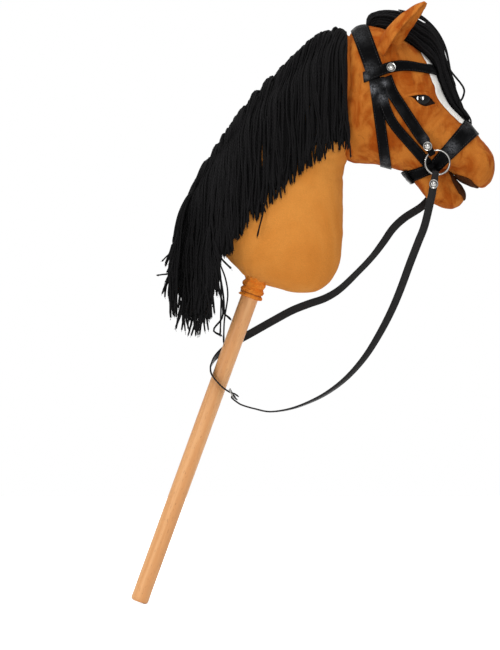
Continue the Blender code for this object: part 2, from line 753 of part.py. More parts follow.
def make_stud(name, spot, normal, grip, origin=None):
    """A domed rivet: the cap on the leather, the shank through it and its clenched foot behind."""
    radius = STUD_DIAMETER / 2
    shank = STUD_SHANK / 2
    rise = FIT
    profile = [(shank, -grip), (shank, rise), (radius, rise), (radius, rise + STUD_HEIGHT * 0.25)]
    for step in range(1, 4):
        angle = math.radians(78.0) * step / 3
        profile.append((radius * math.cos(angle), rise + STUD_HEIGHT * (0.25 + 0.75 * math.sin(angle))))
    stud = turned(name, profile, spot, normal, "bright_metal", sides=18)
    if origin is not None:
        move_origin(stud, origin)
    return stud


def stud_hole(piece, name, spot, normal, deep):
    """The hole for a rivet's shank."""
    radius = STUD_SHANK / 2 + FIT
    cutter = turned(name, [(radius, -deep), (radius, deep)], spot, normal, "rim_felt", sides=14)
    boolean(piece, cutter)


# Straps that fold round a ring


def fold_rows(wire_at, away, outward, clear, sag, arm_far, arm_near, thickness):
    """The middle line of a strap that comes along away, turns round a wire and goes back under itself.

    It is a list of (point, normal) pairs, from the end of the outer arm to the end of the inner arm. The outer arm is
    straight; the inner one rises to it behind the wire, where the two are fastened together.
    """
    eye = clear + thickness / 2
    under = eye - thickness - 2 * FIT
    rows = []
    for share in (1.0, 0.62, 0.30):
        rows.append((wire_at - away * arm_far * share + outward * eye, outward))
    for angle in np.radians([90.0, 50.0, 10.0, -30.0, -65.0, -90.0]):
        spoke = away * math.cos(angle) + outward * math.sin(angle)
        rows.append((wire_at + away * sag + spoke * eye, spoke))
    for share, height in [(0.17, -0.80 * eye), (0.45, under), (1.0, under)]:
        rows.append((wire_at - away * arm_near * share + outward * height, -outward))
    return rows


def ring_fold(wire_at, away, outward, arm_far, arm_near, thickness):
    """The fold of a strap round the ring, roomy enough for the ring's own curve across the strap."""
    sag = RING_RADIUS - math.sqrt(RING_RADIUS ** 2 - (FOLD_WIDTH / 2) ** 2)
    return fold_rows(wire_at, away, outward, RING_WIRE / 2 + sag + FIT, sag, arm_far, arm_near, thickness)


def strip(name, rows, across, widths, thickness, finish, origin=None, columns=3):
    """A strap from its middle line: one row of points for each (point, normal) pair."""
    spread = np.linspace(-0.5, 0.5, columns)
    middle = np.array([[point + across * width * share for share in spread]
                       for (point, _), width in zip(rows, widths)])
    normals = np.array([[normal] * columns for _, normal in rows])
    return slab(name, middle, normals, thickness, finish, origin)


def ring_height(side, pieces):
    """How far out the ring hangs: clear of every strap and of the plush behind it."""
    tree = skin(pieces)
    turn = np.linspace(0.0, 2.0 * math.pi, 48, endpoint=False)
    centre = side_point(RING_AT)
    most = 0.0
    for radius in (RING_RADIUS - RING_WIRE / 2, RING_RADIUS, RING_RADIUS + RING_WIRE / 2):
        for angle in turn:
            spot = Vector(centre + radius * np.array([math.cos(angle), 0.0, math.sin(angle)]))
            spot.y = side * RAY_START
            found = tree.ray_cast(spot, Vector((0.0, -side, 0.0)))[0]
            if found is not None:
                most = max(most, abs(found.y))
    sag = RING_RADIUS - math.sqrt(RING_RADIUS ** 2 - (FOLD_WIDTH / 2) ** 2)
    loop = RING_WIRE / 2 + sag + FIT + STRAP_THICKNESS
    return most + loop + 2 * LAY_GAP


def make_ring(side, out):
    """A bridle ring, hung so that it swings out about the cheekpiece's fold."""
    centre = side_point(RING_AT, side * out)
    hinge = centre + side_direction(CHEEK_FOLD_BEARING) * RING_RADIUS
    wire_ring(side_name("ring", side), centre, (0.0, 1.0, 0.0), RING_RADIUS, RING_WIRE, "bright_metal", hinge)
    return hinge


def make_cheekpiece(side, under, out):
    """A cheek strap laid down the face, whose end folds round the ring and is riveted to itself."""
    away = -side_direction(CHEEK_FOLD_BEARING)
    outward = np.array([0.0, side, 0.0])
    centre = side_point(RING_AT, side * out)
    wire_at = centre - away * RING_RADIUS
    rows = 12
    centres, rays = side_rays(CHEEK_LINE, CHEEK_WIDTH, rows, 3, side)
    tree = skin(under)
    heights = fill_misses(heights_over(tree, centres, rays))
    heights = pull_taut(centres, rays, heights)
    middle = centres + rays * (heights + LAY_GAP + STRAP_THICKNESS / 2)[..., None]
    fold = ring_fold(wire_at, away, outward, CHEEK_ARM, INNER_ARM, STRAP_THICKNESS)
    across = np.cross(away, outward)
    spread = np.linspace(-0.5, 0.5, 3)
    if np.dot(centres[-1, 2] - centres[-1, 0], across) < 0:
        across = -across
    widths = [CHEEK_WIDTH, CHEEK_WIDTH * 0.92, CHEEK_WIDTH * 0.70] + [FOLD_WIDTH] * 7 + [CHEEK_WIDTH * 0.75] * 2
    tail = np.array([[point + across * width * share for share in spread] for (point, _), width in zip(fold, widths)])
    reach = (middle[:, 1] - wire_at) @ away
    middle = middle[reach < -1.3 * CHEEK_ARM]
    rays = rays[:len(middle)]
    lead = tail[0] - middle[-1]
    blend = np.clip((reach[:len(middle)] + 0.060) / 0.060, 0.0, 1.0) ** 2
    middle = middle + rays * (np.maximum(lead @ outward, 0.0)[None, :] * blend[:, None])[..., None]
    middle = press_clear(middle, rays, tree, LAY_GAP + STRAP_THICKNESS / 2)
    grid = np.concatenate([middle, tail])
    flat_normals = sheet_normals(grid, np.concatenate([rays, np.broadcast_to(outward, tail.shape)]))
    normals = np.concatenate([flat_normals[:len(middle) + 1],
                              np.array([[normal] * 3 for _, normal in fold])[1:]])
    strap = slab(side_name("cheekpiece", side), grid, normals, STRAP_THICKNESS, "bridle_leather")
    face, deep = fold_depth(STRAP_THICKNESS)
    rivet = wire_at - away * CHEEK_STUD_BACK + outward * face
    make_stud(side_name("cheek_stud", side), rivet, outward, deep)
    stud_hole(strap, side_name("cheek_hole", side), rivet, outward, 2 * deep)
    return strap


def fold_depth(thickness):
    """How far the outer face of a fold round the ring stands off the wire's middle, and how far down it is riveted."""
    sag = RING_RADIUS - math.sqrt(RING_RADIUS ** 2 - (FOLD_WIDTH / 2) ** 2)
    return RING_WIRE / 2 + sag + FIT + thickness, 2 * thickness + 3 * FIT


def make_rein_end(side, out, hinge):
    """The end of a rein: folded round the ring and riveted, it swings with the ring."""
    away = -side_direction(REIN_FOLD_BEARING)
    outward = np.array([0.0, side, 0.0])
    wire_at = side_point(RING_AT, side * out) - away * RING_RADIUS
    fold = ring_fold(wire_at, away, outward, REIN_ARM, INNER_ARM, REIN_THICKNESS)
    across = np.cross(away, outward)
    widths = [REIN_WIDTH] * 2 + [FOLD_WIDTH * 1.08] + [FOLD_WIDTH] * 7 + [REIN_WIDTH * 0.9] * 2
    name = side_name("rein_end", side)
    end = strip(name, fold, across, widths, REIN_THICKNESS, "bridle_leather", origin=hinge)
    face, deep = fold_depth(REIN_THICKNESS)
    rivet = wire_at - away * REIN_STUD_BACK + outward * face
    make_stud(side_name("rein_stud", side), rivet, outward, deep, origin=hinge)
    stud_hole(end, side_name("rein_hole", side), rivet, outward, 2 * deep)
    tip = fold[0][0]
    return [tip - away * FIT, tip - away * REIN_LEAD]


def make_brow_stud(side, browband):
    """The rivet that closes the browband's end round the crownpiece."""
    tree = skin([browband])
    spot, normal, _, _ = tree.ray_cast(Vector(side_point(BROW_STUD_AT, side * RAY_START)), Vector((0.0, -side, 0.0)))
    across = normal.orthogonal().normalized()
    level = 0.0
    for step in range(12):
        start = spot + (Matrix.Rotation(math.radians(30.0 * step), 3, normal) @ across) * STUD_DIAMETER / 2
        found = tree.ray_cast(start + normal * STUD_DIAMETER, -normal)[0]
        if found is not None:
            level = max(level, (found - spot).dot(normal))
    make_stud(side_name("brow_stud", side), spot + normal * level, normal, STRAP_THICKNESS + level)
    stud_hole(browband, side_name("brow_hole", side), spot, normal, 2 * STRAP_THICKNESS)


# Mane and forelock


def make_mane(side, under):
    """A curtain of yarn on one side: off the tape on the crest, down the neck and then straight down."""
    tree = skin(under)
    locks = smooth_path(MANE_LOCKS, MANE_COLUMNS) * MM
    need = LAY_GAP + MANE_THICKNESS / 2
    middle = np.zeros((CREST_POINTS + FALL_POINTS, MANE_COLUMNS, 3))
    outward = np.zeros_like(middle)
    for column, (root, tip, low) in enumerate(locks):
        top = tree.ray_cast(Vector((ENTRY.x + root, 0.0, 2.0)), Vector((0.0, 0.0, -1.0)))[0].z
        hub = top - MANE_HUB_DEPTH
        drop = hub - (ENTRY.z + low)
        wide = 0.0
        for row in range(CREST_POINTS + FALL_POINTS):
            turn = math.radians(np.interp(row, [0, CREST_POINTS - 1], [MANE_PARTING, 90.0]))
            fall = drop * max(row - CREST_POINTS + 1, 0) / FALL_POINTS
            share = (MANE_HUB_DEPTH * (1 - math.cos(turn)) + fall) / (MANE_HUB_DEPTH + drop)
            centre = Vector((ENTRY.x + root + (tip - root) * share, 0.0, hub - fall))
            ray = Vector((0.0, side * math.sin(turn), math.cos(turn)))
            found = tree.ray_cast(centre + ray * RAY_START, -ray)[0]
            reach = (found - centre).dot(ray) + need if found is not None else 0.0
            wide = max(wide, reach * math.sin(turn))
            height = reach * math.cos(turn) if found is not None else 0.0
            middle[row, column] = (centre.x, side * wide, centre.z + height)
            outward[row, column] = ray
    middle = press_clear(middle, outward, tree, need)
    thickness = np.interp(np.arange(len(middle)), [0, len(middle) - 1], [MANE_THICKNESS, MANE_TIP_THICKNESS])
    normals = sheet_normals(middle, outward)
    return slab(side_name("mane", side), middle, normals, thickness[:, None], "mane_yarn")


def make_forelock(cutters):
    """The tuft that falls forward between the ears and down the face, over the browband."""
    lock = stuffed("forelock", FORELOCK_OUTLINE, FORELOCK_RIDGE, FORELOCK_HALF_WIDTHS, FORELOCK_FULLNESS, "mane_yarn",
                   around=36, rings=4)
    for cutter in cutters:
        boolean(lock, cutter)


# Reins and their buckle


def buckle_point(along, up, y=BUCKLE_Y):
    """The world point of a station at the buckle, in millimetres."""
    east, north = BUCKLE_BEARING
    return side_point((BUCKLE_AT[0] + east * along + north * up, BUCKLE_AT[1] + north * along - east * up), y)


def rein_path(start, route, stations, count):
    """Evenly spaced points of a rein and how far its face is turned at each, in radians."""
    spots = list(start)
    spots += [side_point((x, z), y * MM) for x, y, z, _ in route]
    spots += [buckle_point(*station) for station in stations]
    turns = [0.0] * len(start) + [turn for *_, turn in route] + [90.0] * len(stations)
    path = smooth_path(spots, count)
    nearest = [int(np.argmin(np.linalg.norm(path - spot, axis=1))) for spot in spots]
    return path, np.radians(np.interp(np.arange(count), nearest, turns))


def swept(path, turn, width, columns=3):
    """A strap along a path: rows of points across it, and their normals."""
    along = unit(np.gradient(path, axis=0))
    flat = unit(np.stack([-along[:, 2], np.zeros(len(path)), along[:, 0]], axis=1))
    across = flat * np.cos(turn)[:, None] + np.cross(flat, along) * np.sin(turn)[:, None]
    normals = np.cross(along, across)
    spread = width * np.linspace(-0.5, 0.5, columns)
    middle = path[:, None, :] + across[:, None, :] * spread[None, :, None]
    return middle, np.repeat(normals[:, None, :], columns, axis=1)


def make_near_rein(start):
    """The near rein, from its riveted end to the fold that holds the buckle."""
    bar = buckle_point(BUCKLE_BAR, 0)
    away = unit(buckle_point(1, 0) - buckle_point(0, 0))
    down = unit(buckle_point(0, 0) - buckle_point(0, 1))
    fold = fold_rows(bar, away, down, BUCKLE_WIRE / 2 + FIT, 0.0, CHAPE_ARM, CHAPE_ARM, REIN_THICKNESS)
    path, turn = rein_path(start, REIN_NEAR_ROUTE, CHAPE_STATIONS, REIN_POINTS)
    middle, normals = swept(path, turn, REIN_WIDTH)
    spread = REIN_WIDTH * np.linspace(-0.5, 0.5, 3)
    tail = np.array([[point + np.array([0.0, step, 0.0]) for step in spread] for point, _ in fold])
    tail_normals = np.array([[normal] * 3 for _, normal in fold])
    rein = slab("rein_near", np.concatenate([middle, tail]), np.concatenate([normals, tail_normals]),
                REIN_THICKNESS, "bridle_leather")
    room = 2 * (BUCKLE_WIRE / 2 + REIN_THICKNESS) + 4 * FIT
    boolean(rein, block("chape_slot", bar, away, (room, SLOT_WIDTH, room)))
    return rein


def make_far_rein(start):
    """The far rein, behind the stick and round it, then through the buckle."""
    path, turn = rein_path(start, REIN_FAR_ROUTE, TAIL_STATIONS, REIN_POINTS)
    middle, normals = swept(path, turn, REIN_WIDTH)
    rein = slab("rein_far", middle, normals, REIN_THICKNESS, "bridle_leather")
    low, high = SLOT_SPAN
    centre = buckle_point((low + high) / 2, 3.3)
    away = unit(buckle_point(1, 0) - buckle_point(0, 0))
    boolean(rein, block("prong_slot", centre, away, ((high - low) * MM, SLOT_WIDTH, 4 * REIN_THICKNESS)))
    return rein


def block(name, centre, away, sizes):
    """A cutter: a box that lies along a direction in the side view."""
    up = np.cross(away, np.array([0.0, 1.0, 0.0]))
    axes = [away * sizes[0] / 2, np.array([0.0, sizes[1] / 2, 0.0]), up * sizes[2] / 2]
    corners = [centre + a * axes[0] + b * axes[1] + c * axes[2] for a in (-1, 1) for b in (-1, 1) for c in (-1, 1)]
    faces = [[0, 1, 3, 2], [4, 6, 7, 5], [0, 4, 5, 1], [2, 3, 7, 6], [0, 2, 6, 4], [1, 5, 7, 3]]
    return add_piece(name, corners, faces, "rim_felt", smooth=False)


def bent_wire(name, path, normal, wire, finish, closed, origin, around=8):
    """A round wire bent along a path that lies in one plane."""
    path = np.array(path)
    if closed:
        along = unit(np.roll(path, -1, axis=0) - np.roll(path, 1, axis=0))
    else:
        along = unit(np.gradient(path, axis=0))
    sideways = np.cross(along, normal)
    turn = np.linspace(0.0, 2.0 * math.pi, around, endpoint=False)
    points = [spot + (side * math.cos(t) + normal * math.sin(t)) * wire / 2
              for spot, side in zip(path, sideways) for t in turn]
    total = len(path)
    faces = []
    for i in range(total if closed else total - 1):
        k = (i + 1) % total
        for j in range(around):
            m = (j + 1) % around
            faces.append([i * around + j, i * around + m, k * around + m, k * around + j])
    if not closed:
        faces.append(list(range(around)))
        faces.append([(total - 1) * around + j for j in range(around)])
    return add_piece(name, points, faces, finish, origin=origin)


def make_buckle():
    """The rein buckle: a wire frame, and the prong that turns about its rear bar."""
    rear = buckle_point(BUCKLE_BAR, 0)
    front = buckle_point(BUCKLE_BAR + BUCKLE_LENGTH, BUCKLE_RISE)
    along = unit(front - rear)
    length = np.linalg.norm(front - rear)
    across = np.array([0.0, 1.0, 0.0])
    face = np.cross(along, across)
    face = face if face[2] > 0 else -face
    half = REIN_WIDTH / 2 + BUCKLE_PLAY + BUCKLE_WIRE / 2
    corner = BUCKLE_WIRE
    frame = []
    for at, y, start in [(length, half, 0), (0.0, half, 90), (0.0, -half, 180), (length, -half, 270)]:
        inner = at + (corner if at == 0.0 else -corner)
        for step in range(4):
            angle = math.radians(start + 30.0 * step)
            reach = inner + corner * math.cos(angle)
            side = y - math.copysign(corner, y) + corner * math.sin(angle)
            frame.append(rear + along * reach + across * side)
    bent_wire("rein_buckle", frame, face, BUCKLE_WIRE, "bright_metal", True, rear)
    loop = BUCKLE_WIRE / 2 + FIT + PRONG_WIRE / 2
    path = []
    for degrees in range(-20, -271, -25):
        angle = math.radians(degrees)
        path.append(rear + (along * math.cos(angle) + face * math.sin(angle)) * loop)
    path.append(rear + face * loop + along * length * 0.5)
    path.append(rear + face * loop + along * (length + PRONG_OVER))
    bent_wire("rein_prong", path, across, PRONG_WIRE, "bright_metal", False, rear, around=6)


def main():
    """Builds the whole horse."""
    clear_scene()
    leather = "bridle_leather"
    stick = make_stick()
    neck = make_neck(stick)
    make_cuff(grown(neck, FIT, "neck_cutter"))
    head = stuffed("head", HEAD_OUTLINE, HEAD_RIDGE, HEAD_HALF_WIDTHS, HEAD_FULLNESS, "plush_head",
                   around=48, rings=6)
    head_cutter = grown(head, FIT, "head_cutter")
    boolean(neck, head_cutter)
    jaw = stuffed("lower_jaw", JAW_OUTLINE, JAW_RIDGE, JAW_HALF_WIDTHS, JAW_FULLNESS, "plush_head",
                  around=32, rings=4)
    boolean(jaw, head_cutter)
    for side in (NEAR, FAR):
        make_ear(side, head_cutter)
        make_eye(side, head)
    rays = ridge_rays(BLAZE_LINE, BLAZE_WIDTHS, 14, 5, PANEL_DEPTH)
    blaze = laid_sheet("blaze", *rays, [head], BLAZE_THICKNESS, "blaze_plush", taut=0)
    rays = ridge_rays(PALATE_LINE, PALATE_WIDTHS, 6, 5, PANEL_DEPTH, flip=True)
    palate = laid_sheet("palate_lining", *rays, [head], LINING_THICKNESS, "mouth_felt", taut=0)
    rays = ridge_rays(JAW_LINING_LINE, JAW_LINING_WIDTHS, 8, 5, PANEL_DEPTH)
    jaw_lining = laid_sheet("jaw_lining", *rays, [jaw], LINING_THICKNESS, "mouth_felt", taut=0)
    palate_cutter = grown(palate, FIT, "palate_cutter")
    boolean(jaw, palate_cutter)
    boolean(jaw_lining, head_cutter)
    boolean(jaw_lining, palate_cutter)
    rays = wrap_rays(THROAT_LINE, [THROAT_WIDTH], 28, 3, [head])
    throat = laid_sheet("throat_lash", *rays, [head, neck], STRAP_THICKNESS, leather)
    rays = wrap_rays(CROWN_LINE, [CROWN_WIDTH], 20, 4, [head])
    crown = laid_sheet("crownpiece", *rays, [head, neck, throat], STRAP_THICKNESS, leather)
    rays = wrap_rays(NOSE_LINE, NOSE_WIDTHS, 20, 4, [head])
    nose = laid_sheet("noseband", *rays, [head, blaze], STRAP_THICKNESS, leather)
    rays = wrap_rays(CHIN_LINE, CHIN_WIDTHS, 18, 3, [head, jaw])
    chin = laid_sheet("chin_strap", *rays, [head, jaw, nose], STRAP_THICKNESS, leather)
    centres, outward = wrap_rays(CHIN_LINE, [CHIN_LAP_WIDTH], 18, 3, [head, jaw])
    laid_sheet("chin_lap", centres[6:-6], outward[6:-6], [chin, head, jaw], CHIN_LAP_THICKNESS, leather)
    straps = [throat, crown, nose, chin, blaze]
    for side in (NEAR, FAR):
        rays = side_rays(HEADSTRAP_LINE, HEADSTRAP_WIDTH, 14, 3, side)
        name = side_name("noseband_headstrap", side)
        straps.append(laid_sheet(name, *rays, [head, throat, nose, chin, crown], STRAP_THICKNESS, leather))
    out = max(ring_height(side, [head, jaw] + straps) for side in (NEAR, FAR))
    starts = []
    for side in (NEAR, FAR):
        hinge = make_ring(side, out)
        straps.append(make_cheekpiece(side, [head] + straps, out))
        starts.append(make_rein_end(side, out, hinge))
    rays = wrap_rays(BROW_LINE[::-1], [BROW_WIDTH], 34, 3, [head], rise=BROW_RISE)
    browband = laid_sheet("browband", *rays, [head] + straps, STRAP_THICKNESS, leather)
    for side in (NEAR, FAR):
        make_brow_stud(side, browband)
    rays = ridge_rays(TAPE_LINE, [TAPE_WIDTH], 24, 3, PANEL_DEPTH, flip=True)
    tape = laid_sheet("mane_tape", *rays, [neck, head], TAPE_THICKNESS, "mouth_felt", taut=0)
    for side in (NEAR, FAR):
        make_mane(side, [neck, head, tape])
    under_forelock = 2 * LAY_GAP + BLAZE_THICKNESS + STRAP_THICKNESS + 2 * FIT
    make_forelock([grown(head, under_forelock, "forelock_bed"), grown(browband, FIT, "brow_bed")])
    make_near_rein(starts[0])
    make_far_rein(starts[1])
    make_buckle()


main()
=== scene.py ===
# %% [markdown]
# # Dressing a hobby horse
#
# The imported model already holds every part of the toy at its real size: the beech stick, the stuffed neck and head,
# the bridle and the reins. This lesson gives those parts their finish. Plush swells and creases, straps get their
# crowned section and stitching, and the mane becomes yarn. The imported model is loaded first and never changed.

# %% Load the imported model
import math

import bmesh
import bpy
import numpy as np
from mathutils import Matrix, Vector
from mathutils.bvhtree import BVHTree


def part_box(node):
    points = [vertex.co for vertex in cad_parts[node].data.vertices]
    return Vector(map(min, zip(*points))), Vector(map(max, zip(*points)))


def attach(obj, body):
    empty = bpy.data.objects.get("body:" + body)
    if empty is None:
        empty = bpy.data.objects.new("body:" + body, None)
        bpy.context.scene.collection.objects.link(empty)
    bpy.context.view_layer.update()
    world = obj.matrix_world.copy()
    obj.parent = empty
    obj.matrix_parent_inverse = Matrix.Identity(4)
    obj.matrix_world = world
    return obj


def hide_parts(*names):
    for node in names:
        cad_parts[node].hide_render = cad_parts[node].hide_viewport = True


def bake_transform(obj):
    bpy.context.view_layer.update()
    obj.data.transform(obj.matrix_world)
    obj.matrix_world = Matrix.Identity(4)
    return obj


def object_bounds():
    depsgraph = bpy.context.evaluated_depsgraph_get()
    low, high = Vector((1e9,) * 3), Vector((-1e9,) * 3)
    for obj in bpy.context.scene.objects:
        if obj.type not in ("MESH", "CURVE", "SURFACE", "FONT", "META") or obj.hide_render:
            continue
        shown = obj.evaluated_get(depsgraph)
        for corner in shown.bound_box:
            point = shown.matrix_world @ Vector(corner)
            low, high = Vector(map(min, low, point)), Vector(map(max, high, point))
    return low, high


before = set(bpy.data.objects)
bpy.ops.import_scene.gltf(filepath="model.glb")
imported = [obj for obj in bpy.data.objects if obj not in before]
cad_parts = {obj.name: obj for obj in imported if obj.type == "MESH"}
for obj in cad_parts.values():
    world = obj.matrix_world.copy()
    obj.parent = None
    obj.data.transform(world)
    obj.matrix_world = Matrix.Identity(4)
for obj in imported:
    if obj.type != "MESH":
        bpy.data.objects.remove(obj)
cad_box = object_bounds()

# %% [markdown]
# The model stands as a rider holds it. The origin is the middle of the stick's foot, +X is where the horse looks, and
# its near side, which the camera sees, is -Y. Points taken from the side view are millimetres from the place where
# the stick enters the neck, so one small function turns them into world points.

# %% Side view and small vector helpers
NEAR, FAR = -1, 1
MM = 0.001
LEAN = math.radians(20.0)
STICK_DIRECTION = np.array([math.sin(LEAN), 0.0, math.cos(LEAN)])
ENTRY = STICK_DIRECTION * 0.406
ACROSS_HORSE = np.array([0.0, 1.0, 0.0])
CURVE_STEPS = 16


def side(spot, y=0.0):
    """World points of side-view spots (x, z): the entry plus the spot in metres, at y metres across."""
    spot = np.asarray(spot, float) * MM
    x, z = np.broadcast_arrays(spot[..., 0], spot[..., 1])
    return np.stack([ENTRY[0] + x, np.broadcast_to(y, x.shape), ENTRY[2] + z], axis=-1)


def unit(vectors):
    """Each vector divided by its length."""
    return vectors / np.linalg.norm(vectors, axis=-1, keepdims=True)


def bearing(x, z):
    """The unit vector of a direction drawn in the side view."""
    return unit(np.array([x, 0.0, z], float))


def clamped(values):
    """Values held between 0 and 1."""
    return np.clip(values, 0.0, 1.0)


def full_turn(count):
    """So many even angles round a circle."""
    return np.linspace(0.0, 2.0 * math.pi, count, endpoint=False)


def evenly(values, shares):
    """Values that stand evenly from 0 to 1, read at these shares."""
    return np.interp(shares, np.linspace(0.0, 1.0, len(values)), values)


def between(grid, places, axis=0):
    """Reads a grid at fractional places along one axis, on the Catmull-Rom curve through its points."""
    grid = np.moveaxis(np.asarray(grid, float), axis, 0)
    ends = np.concatenate([2 * grid[:1] - grid[1:2], grid, 2 * grid[-1:] - grid[-2:-1]])
    low = np.clip(np.floor(places).astype(int), 0, len(grid) - 2)
    share = (places - low).reshape((-1,) + (1,) * (grid.ndim - 1))
    a, b, c, d = (ends[low + step] for step in range(4))
    curve = 2 * b + (c - a) * share + (2 * a - 5 * b + 4 * c - d) * share ** 2 + (3 * b - a - 3 * c + d) * share ** 3
    return np.moveaxis(curve / 2, 0, axis)


def run_along(paths):
    """How far along its path each point lies; a path's points lie along the last axis but one."""
    steps = np.linalg.norm(np.diff(paths, axis=-2), axis=-1)
    return np.concatenate([np.zeros(steps.shape[:-1] + (1,)), np.cumsum(steps, axis=-1)], axis=-1)


def smooth_path(points, count, closed=False):
    """A Catmull-Rom curve through the points, read again at even steps of its own length."""
    points = np.asarray(points, float)
    first, spans = 0, len(points) - 1
    if closed:
        points = np.concatenate([points, points[:3]])
        first, spans = 1, len(points) - 3
    fine = between(points, first + np.linspace(0, spans, CURVE_STEPS * spans + 1))
    run = run_along(fine)
    wanted = np.linspace(0.0, run[-1], count, endpoint=not closed)
    return np.stack([np.interp(wanted, run, column) for column in fine.T], axis=1)


print("stick enters the neck at", ENTRY.round(4))

# %% [markdown]
# ## The camera
#
# The photograph is a flat side view from far away: the near and the far side of the bridle lie almost on top of each
# other. A long lens does the same. The height of the view is the photograph's height at the scale of the plush.

# %% Camera
VIEW_CENTRE = (0.1323, 0.0, 0.3295)
VIEW_HEIGHT = 0.7735
LENS = 900.0
SENSOR = 36.0
FAR_CLIP = 50.0


def put(name, data):
    """A new object in the scene, with this name and data."""
    thing = bpy.data.objects.new(name, data)
    bpy.context.scene.collection.objects.link(thing)
    return thing


camera_data = bpy.data.cameras.new("camera")
camera_data.lens = LENS
camera_data.sensor_width = SENSOR
camera_data.sensor_fit = "AUTO"
camera_data.clip_end = FAR_CLIP
camera = put("camera", camera_data)
camera.location = (VIEW_CENTRE[0], -LENS / SENSOR * VIEW_HEIGHT, VIEW_CENTRE[2])
camera.rotation_euler = (math.radians(90.0), 0.0, 0.0)
bpy.context.scene.camera = camera
bpy.context.scene.view_settings.view_transform = "Standard"
print("camera stands", round(-camera.location.y, 2), "m off")

# %% [markdown]
# ## The routes of the reins
#
# The reins are the only free cords here, so their routes come before everything else. Each is one leather strap from
# the ring to the buckle that joins them. The route is drawn as points (x, y, z) and a turn: a strap shows its face to
# the side at no turn and its edge at 90 degrees. The far rein passes behind the stick, bends round it and goes through
# the buckle, as in the photograph.

# %% Rein routes
REIN_WIDTH = 0.0095
REIN_THICKNESS = 0.0018
NEAR_ROUTE = [
    (201, -47, 67, 0), (193, -45, 46, 0), (183, -42, 20, 6), (172, -39, -10, 14), (161, -35, -36, 24),
    (147, -31, -63, 34), (130, -28, -90, 45), (109, -25, -114, 57), (86, -22, -132, 68), (63, -20, -144, 77),
    (40, -18, -152, 84), (17, -17, -155, 90), (-1, -16.5, -151.5, 90),
]
FAR_ROUTE = [
    (198, 47, 89, 0), (178, 44, 76, 4), (164, 42, 63, 14), (152, 41, 46, 30), (139, 39, 29, 42), (122, 37, 11, 44),
    (101, 34, -9, 34), (83, 31, -20, 20), (63, 28, -27, 8), (43, 25, -35, 0), (19, 20, -48, 0), (-4, 16, -61, 0),
    (-22, 14, -71, 4), (-38, 12.5, -82, 32), (-48, 7, -91, 62), (-53, 0, -100, 88), (-53, -8, -108, 90),
    (-50, -14.5, -114, 90), (-45, -16.5, -120, 90),
]
BUCKLE_AT = (-21.0, -142.0)
BUCKLE_Y = -0.0165
BUCKLE_BEARING = (-0.79, 0.61)
CHAPE_STATIONS = [(-11.8, 0.6), (-5, -1.6)]
TAIL_STATIONS = [(24, 1.6), (16, 1.9), (11.5, 2.9), (7, 4.3), (1.5, 4.3)]


def buckle_point(along, up):
    """A station at the buckle: so far along the strap and so far up from it, in millimetres."""
    east, north = BUCKLE_BEARING
    return side((BUCKLE_AT[0] + east * along + north * up, BUCKLE_AT[1] + north * along - east * up), BUCKLE_Y)


def rein_route(start, route, stations, count=320):
    """Even points of a rein, and how far its face is turned at each one, in radians."""
    drawn = [side((x, z), y * MM) for x, y, z, _ in route]
    spots = list(start) + drawn + [buckle_point(*station) for station in stations]
    turns = [0.0] * len(start) + [turn for *_, turn in route] + [90.0] * len(stations)
    path = smooth_path(spots, count)
    nearest = [int(np.argmin(np.linalg.norm(path - spot, axis=1))) for spot in spots]
    return path, np.radians(np.interp(np.arange(count), nearest, turns))


# %% [markdown]
# ## Where the rings hang
#
# The two bridle rings turn about the fold of the cheekpiece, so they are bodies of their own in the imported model, and
# their middles are read from it. Every fold, rivet and rein end is placed from there.

# %% Ring places
RING_RADIUS = 0.0145
RING_WIRE = 0.0025
FOLD_WIDTH = 0.008
FIT = 0.0003
STRAP_THICKNESS = 0.0018
CHEEK_AWAY = -bearing(-0.524, 0.852)
REIN_AWAY = -bearing(-0.174, -0.985)
REIN_ARM, REIN_LEAD = 0.020, 0.006
REIN_STUD_BACK = 0.0115
WIRE_SAG = RING_RADIUS - math.sqrt(RING_RADIUS ** 2 - (FOLD_WIDTH / 2) ** 2)
FOLD_CLEAR = RING_WIRE / 2 + WIRE_SAG + FIT
FOLD_EYE = FOLD_CLEAR + STRAP_THICKNESS / 2
NAMES = {NEAR: "near", FAR: "far"}


def ring_centre(which):
    """The middle of a ring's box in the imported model."""
    low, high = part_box("ring_" + NAMES[which])
    return np.array((low + high) / 2)


def wire_place(which, away):
    """Where a fold meets its ring's wire: the ring's middle, less its radius along the fold's way."""
    return ring_centre(which) - away * RING_RADIUS


def on_rein_end(which, back):
    """The middle of the rein's strap, so far back from the ring's wire."""
    return wire_place(which, REIN_AWAY) - REIN_AWAY * back + ACROSS_HORSE * which * FOLD_EYE


rein_starts = {which: [on_rein_end(which, back) for back in (REIN_STUD_BACK, REIN_ARM, REIN_ARM + REIN_LEAD)]
               for which in (NEAR, FAR)}
print("ring middles:", ring_centre(NEAR).round(4), ring_centre(FAR).round(4))

# %% [markdown]
# ## From arrays to pieces
#
# Every new piece is worked out as an array of points and an array of faces. One helper puts them into a mesh, turns
# the faces outwards by the sign of the enclosed volume, and ties the piece to the body it moves with.


# %% Meshes from arrays
def grid_faces(rows, columns, wrap=False):
    """The quads of a grid of points: each joins a point, the next in its row, and the same two of the row above."""
    i = np.arange(rows - 1)[:, None] * columns
    j = np.arange(columns if wrap else columns - 1)[None, :]
    k = (j + 1) % columns
    return np.stack(np.broadcast_arrays(i + j, i + k, i + columns + k, i + columns + j), axis=-1).reshape(-1, 4)


def tube_faces(rows, around):
    """The quads of a tube of so many rings, and one face over each end."""
    caps = [list(range(around))[::-1], [(rows - 1) * around + index for index in range(around)]]
    return grid_faces(rows, around, wrap=True).tolist() + caps


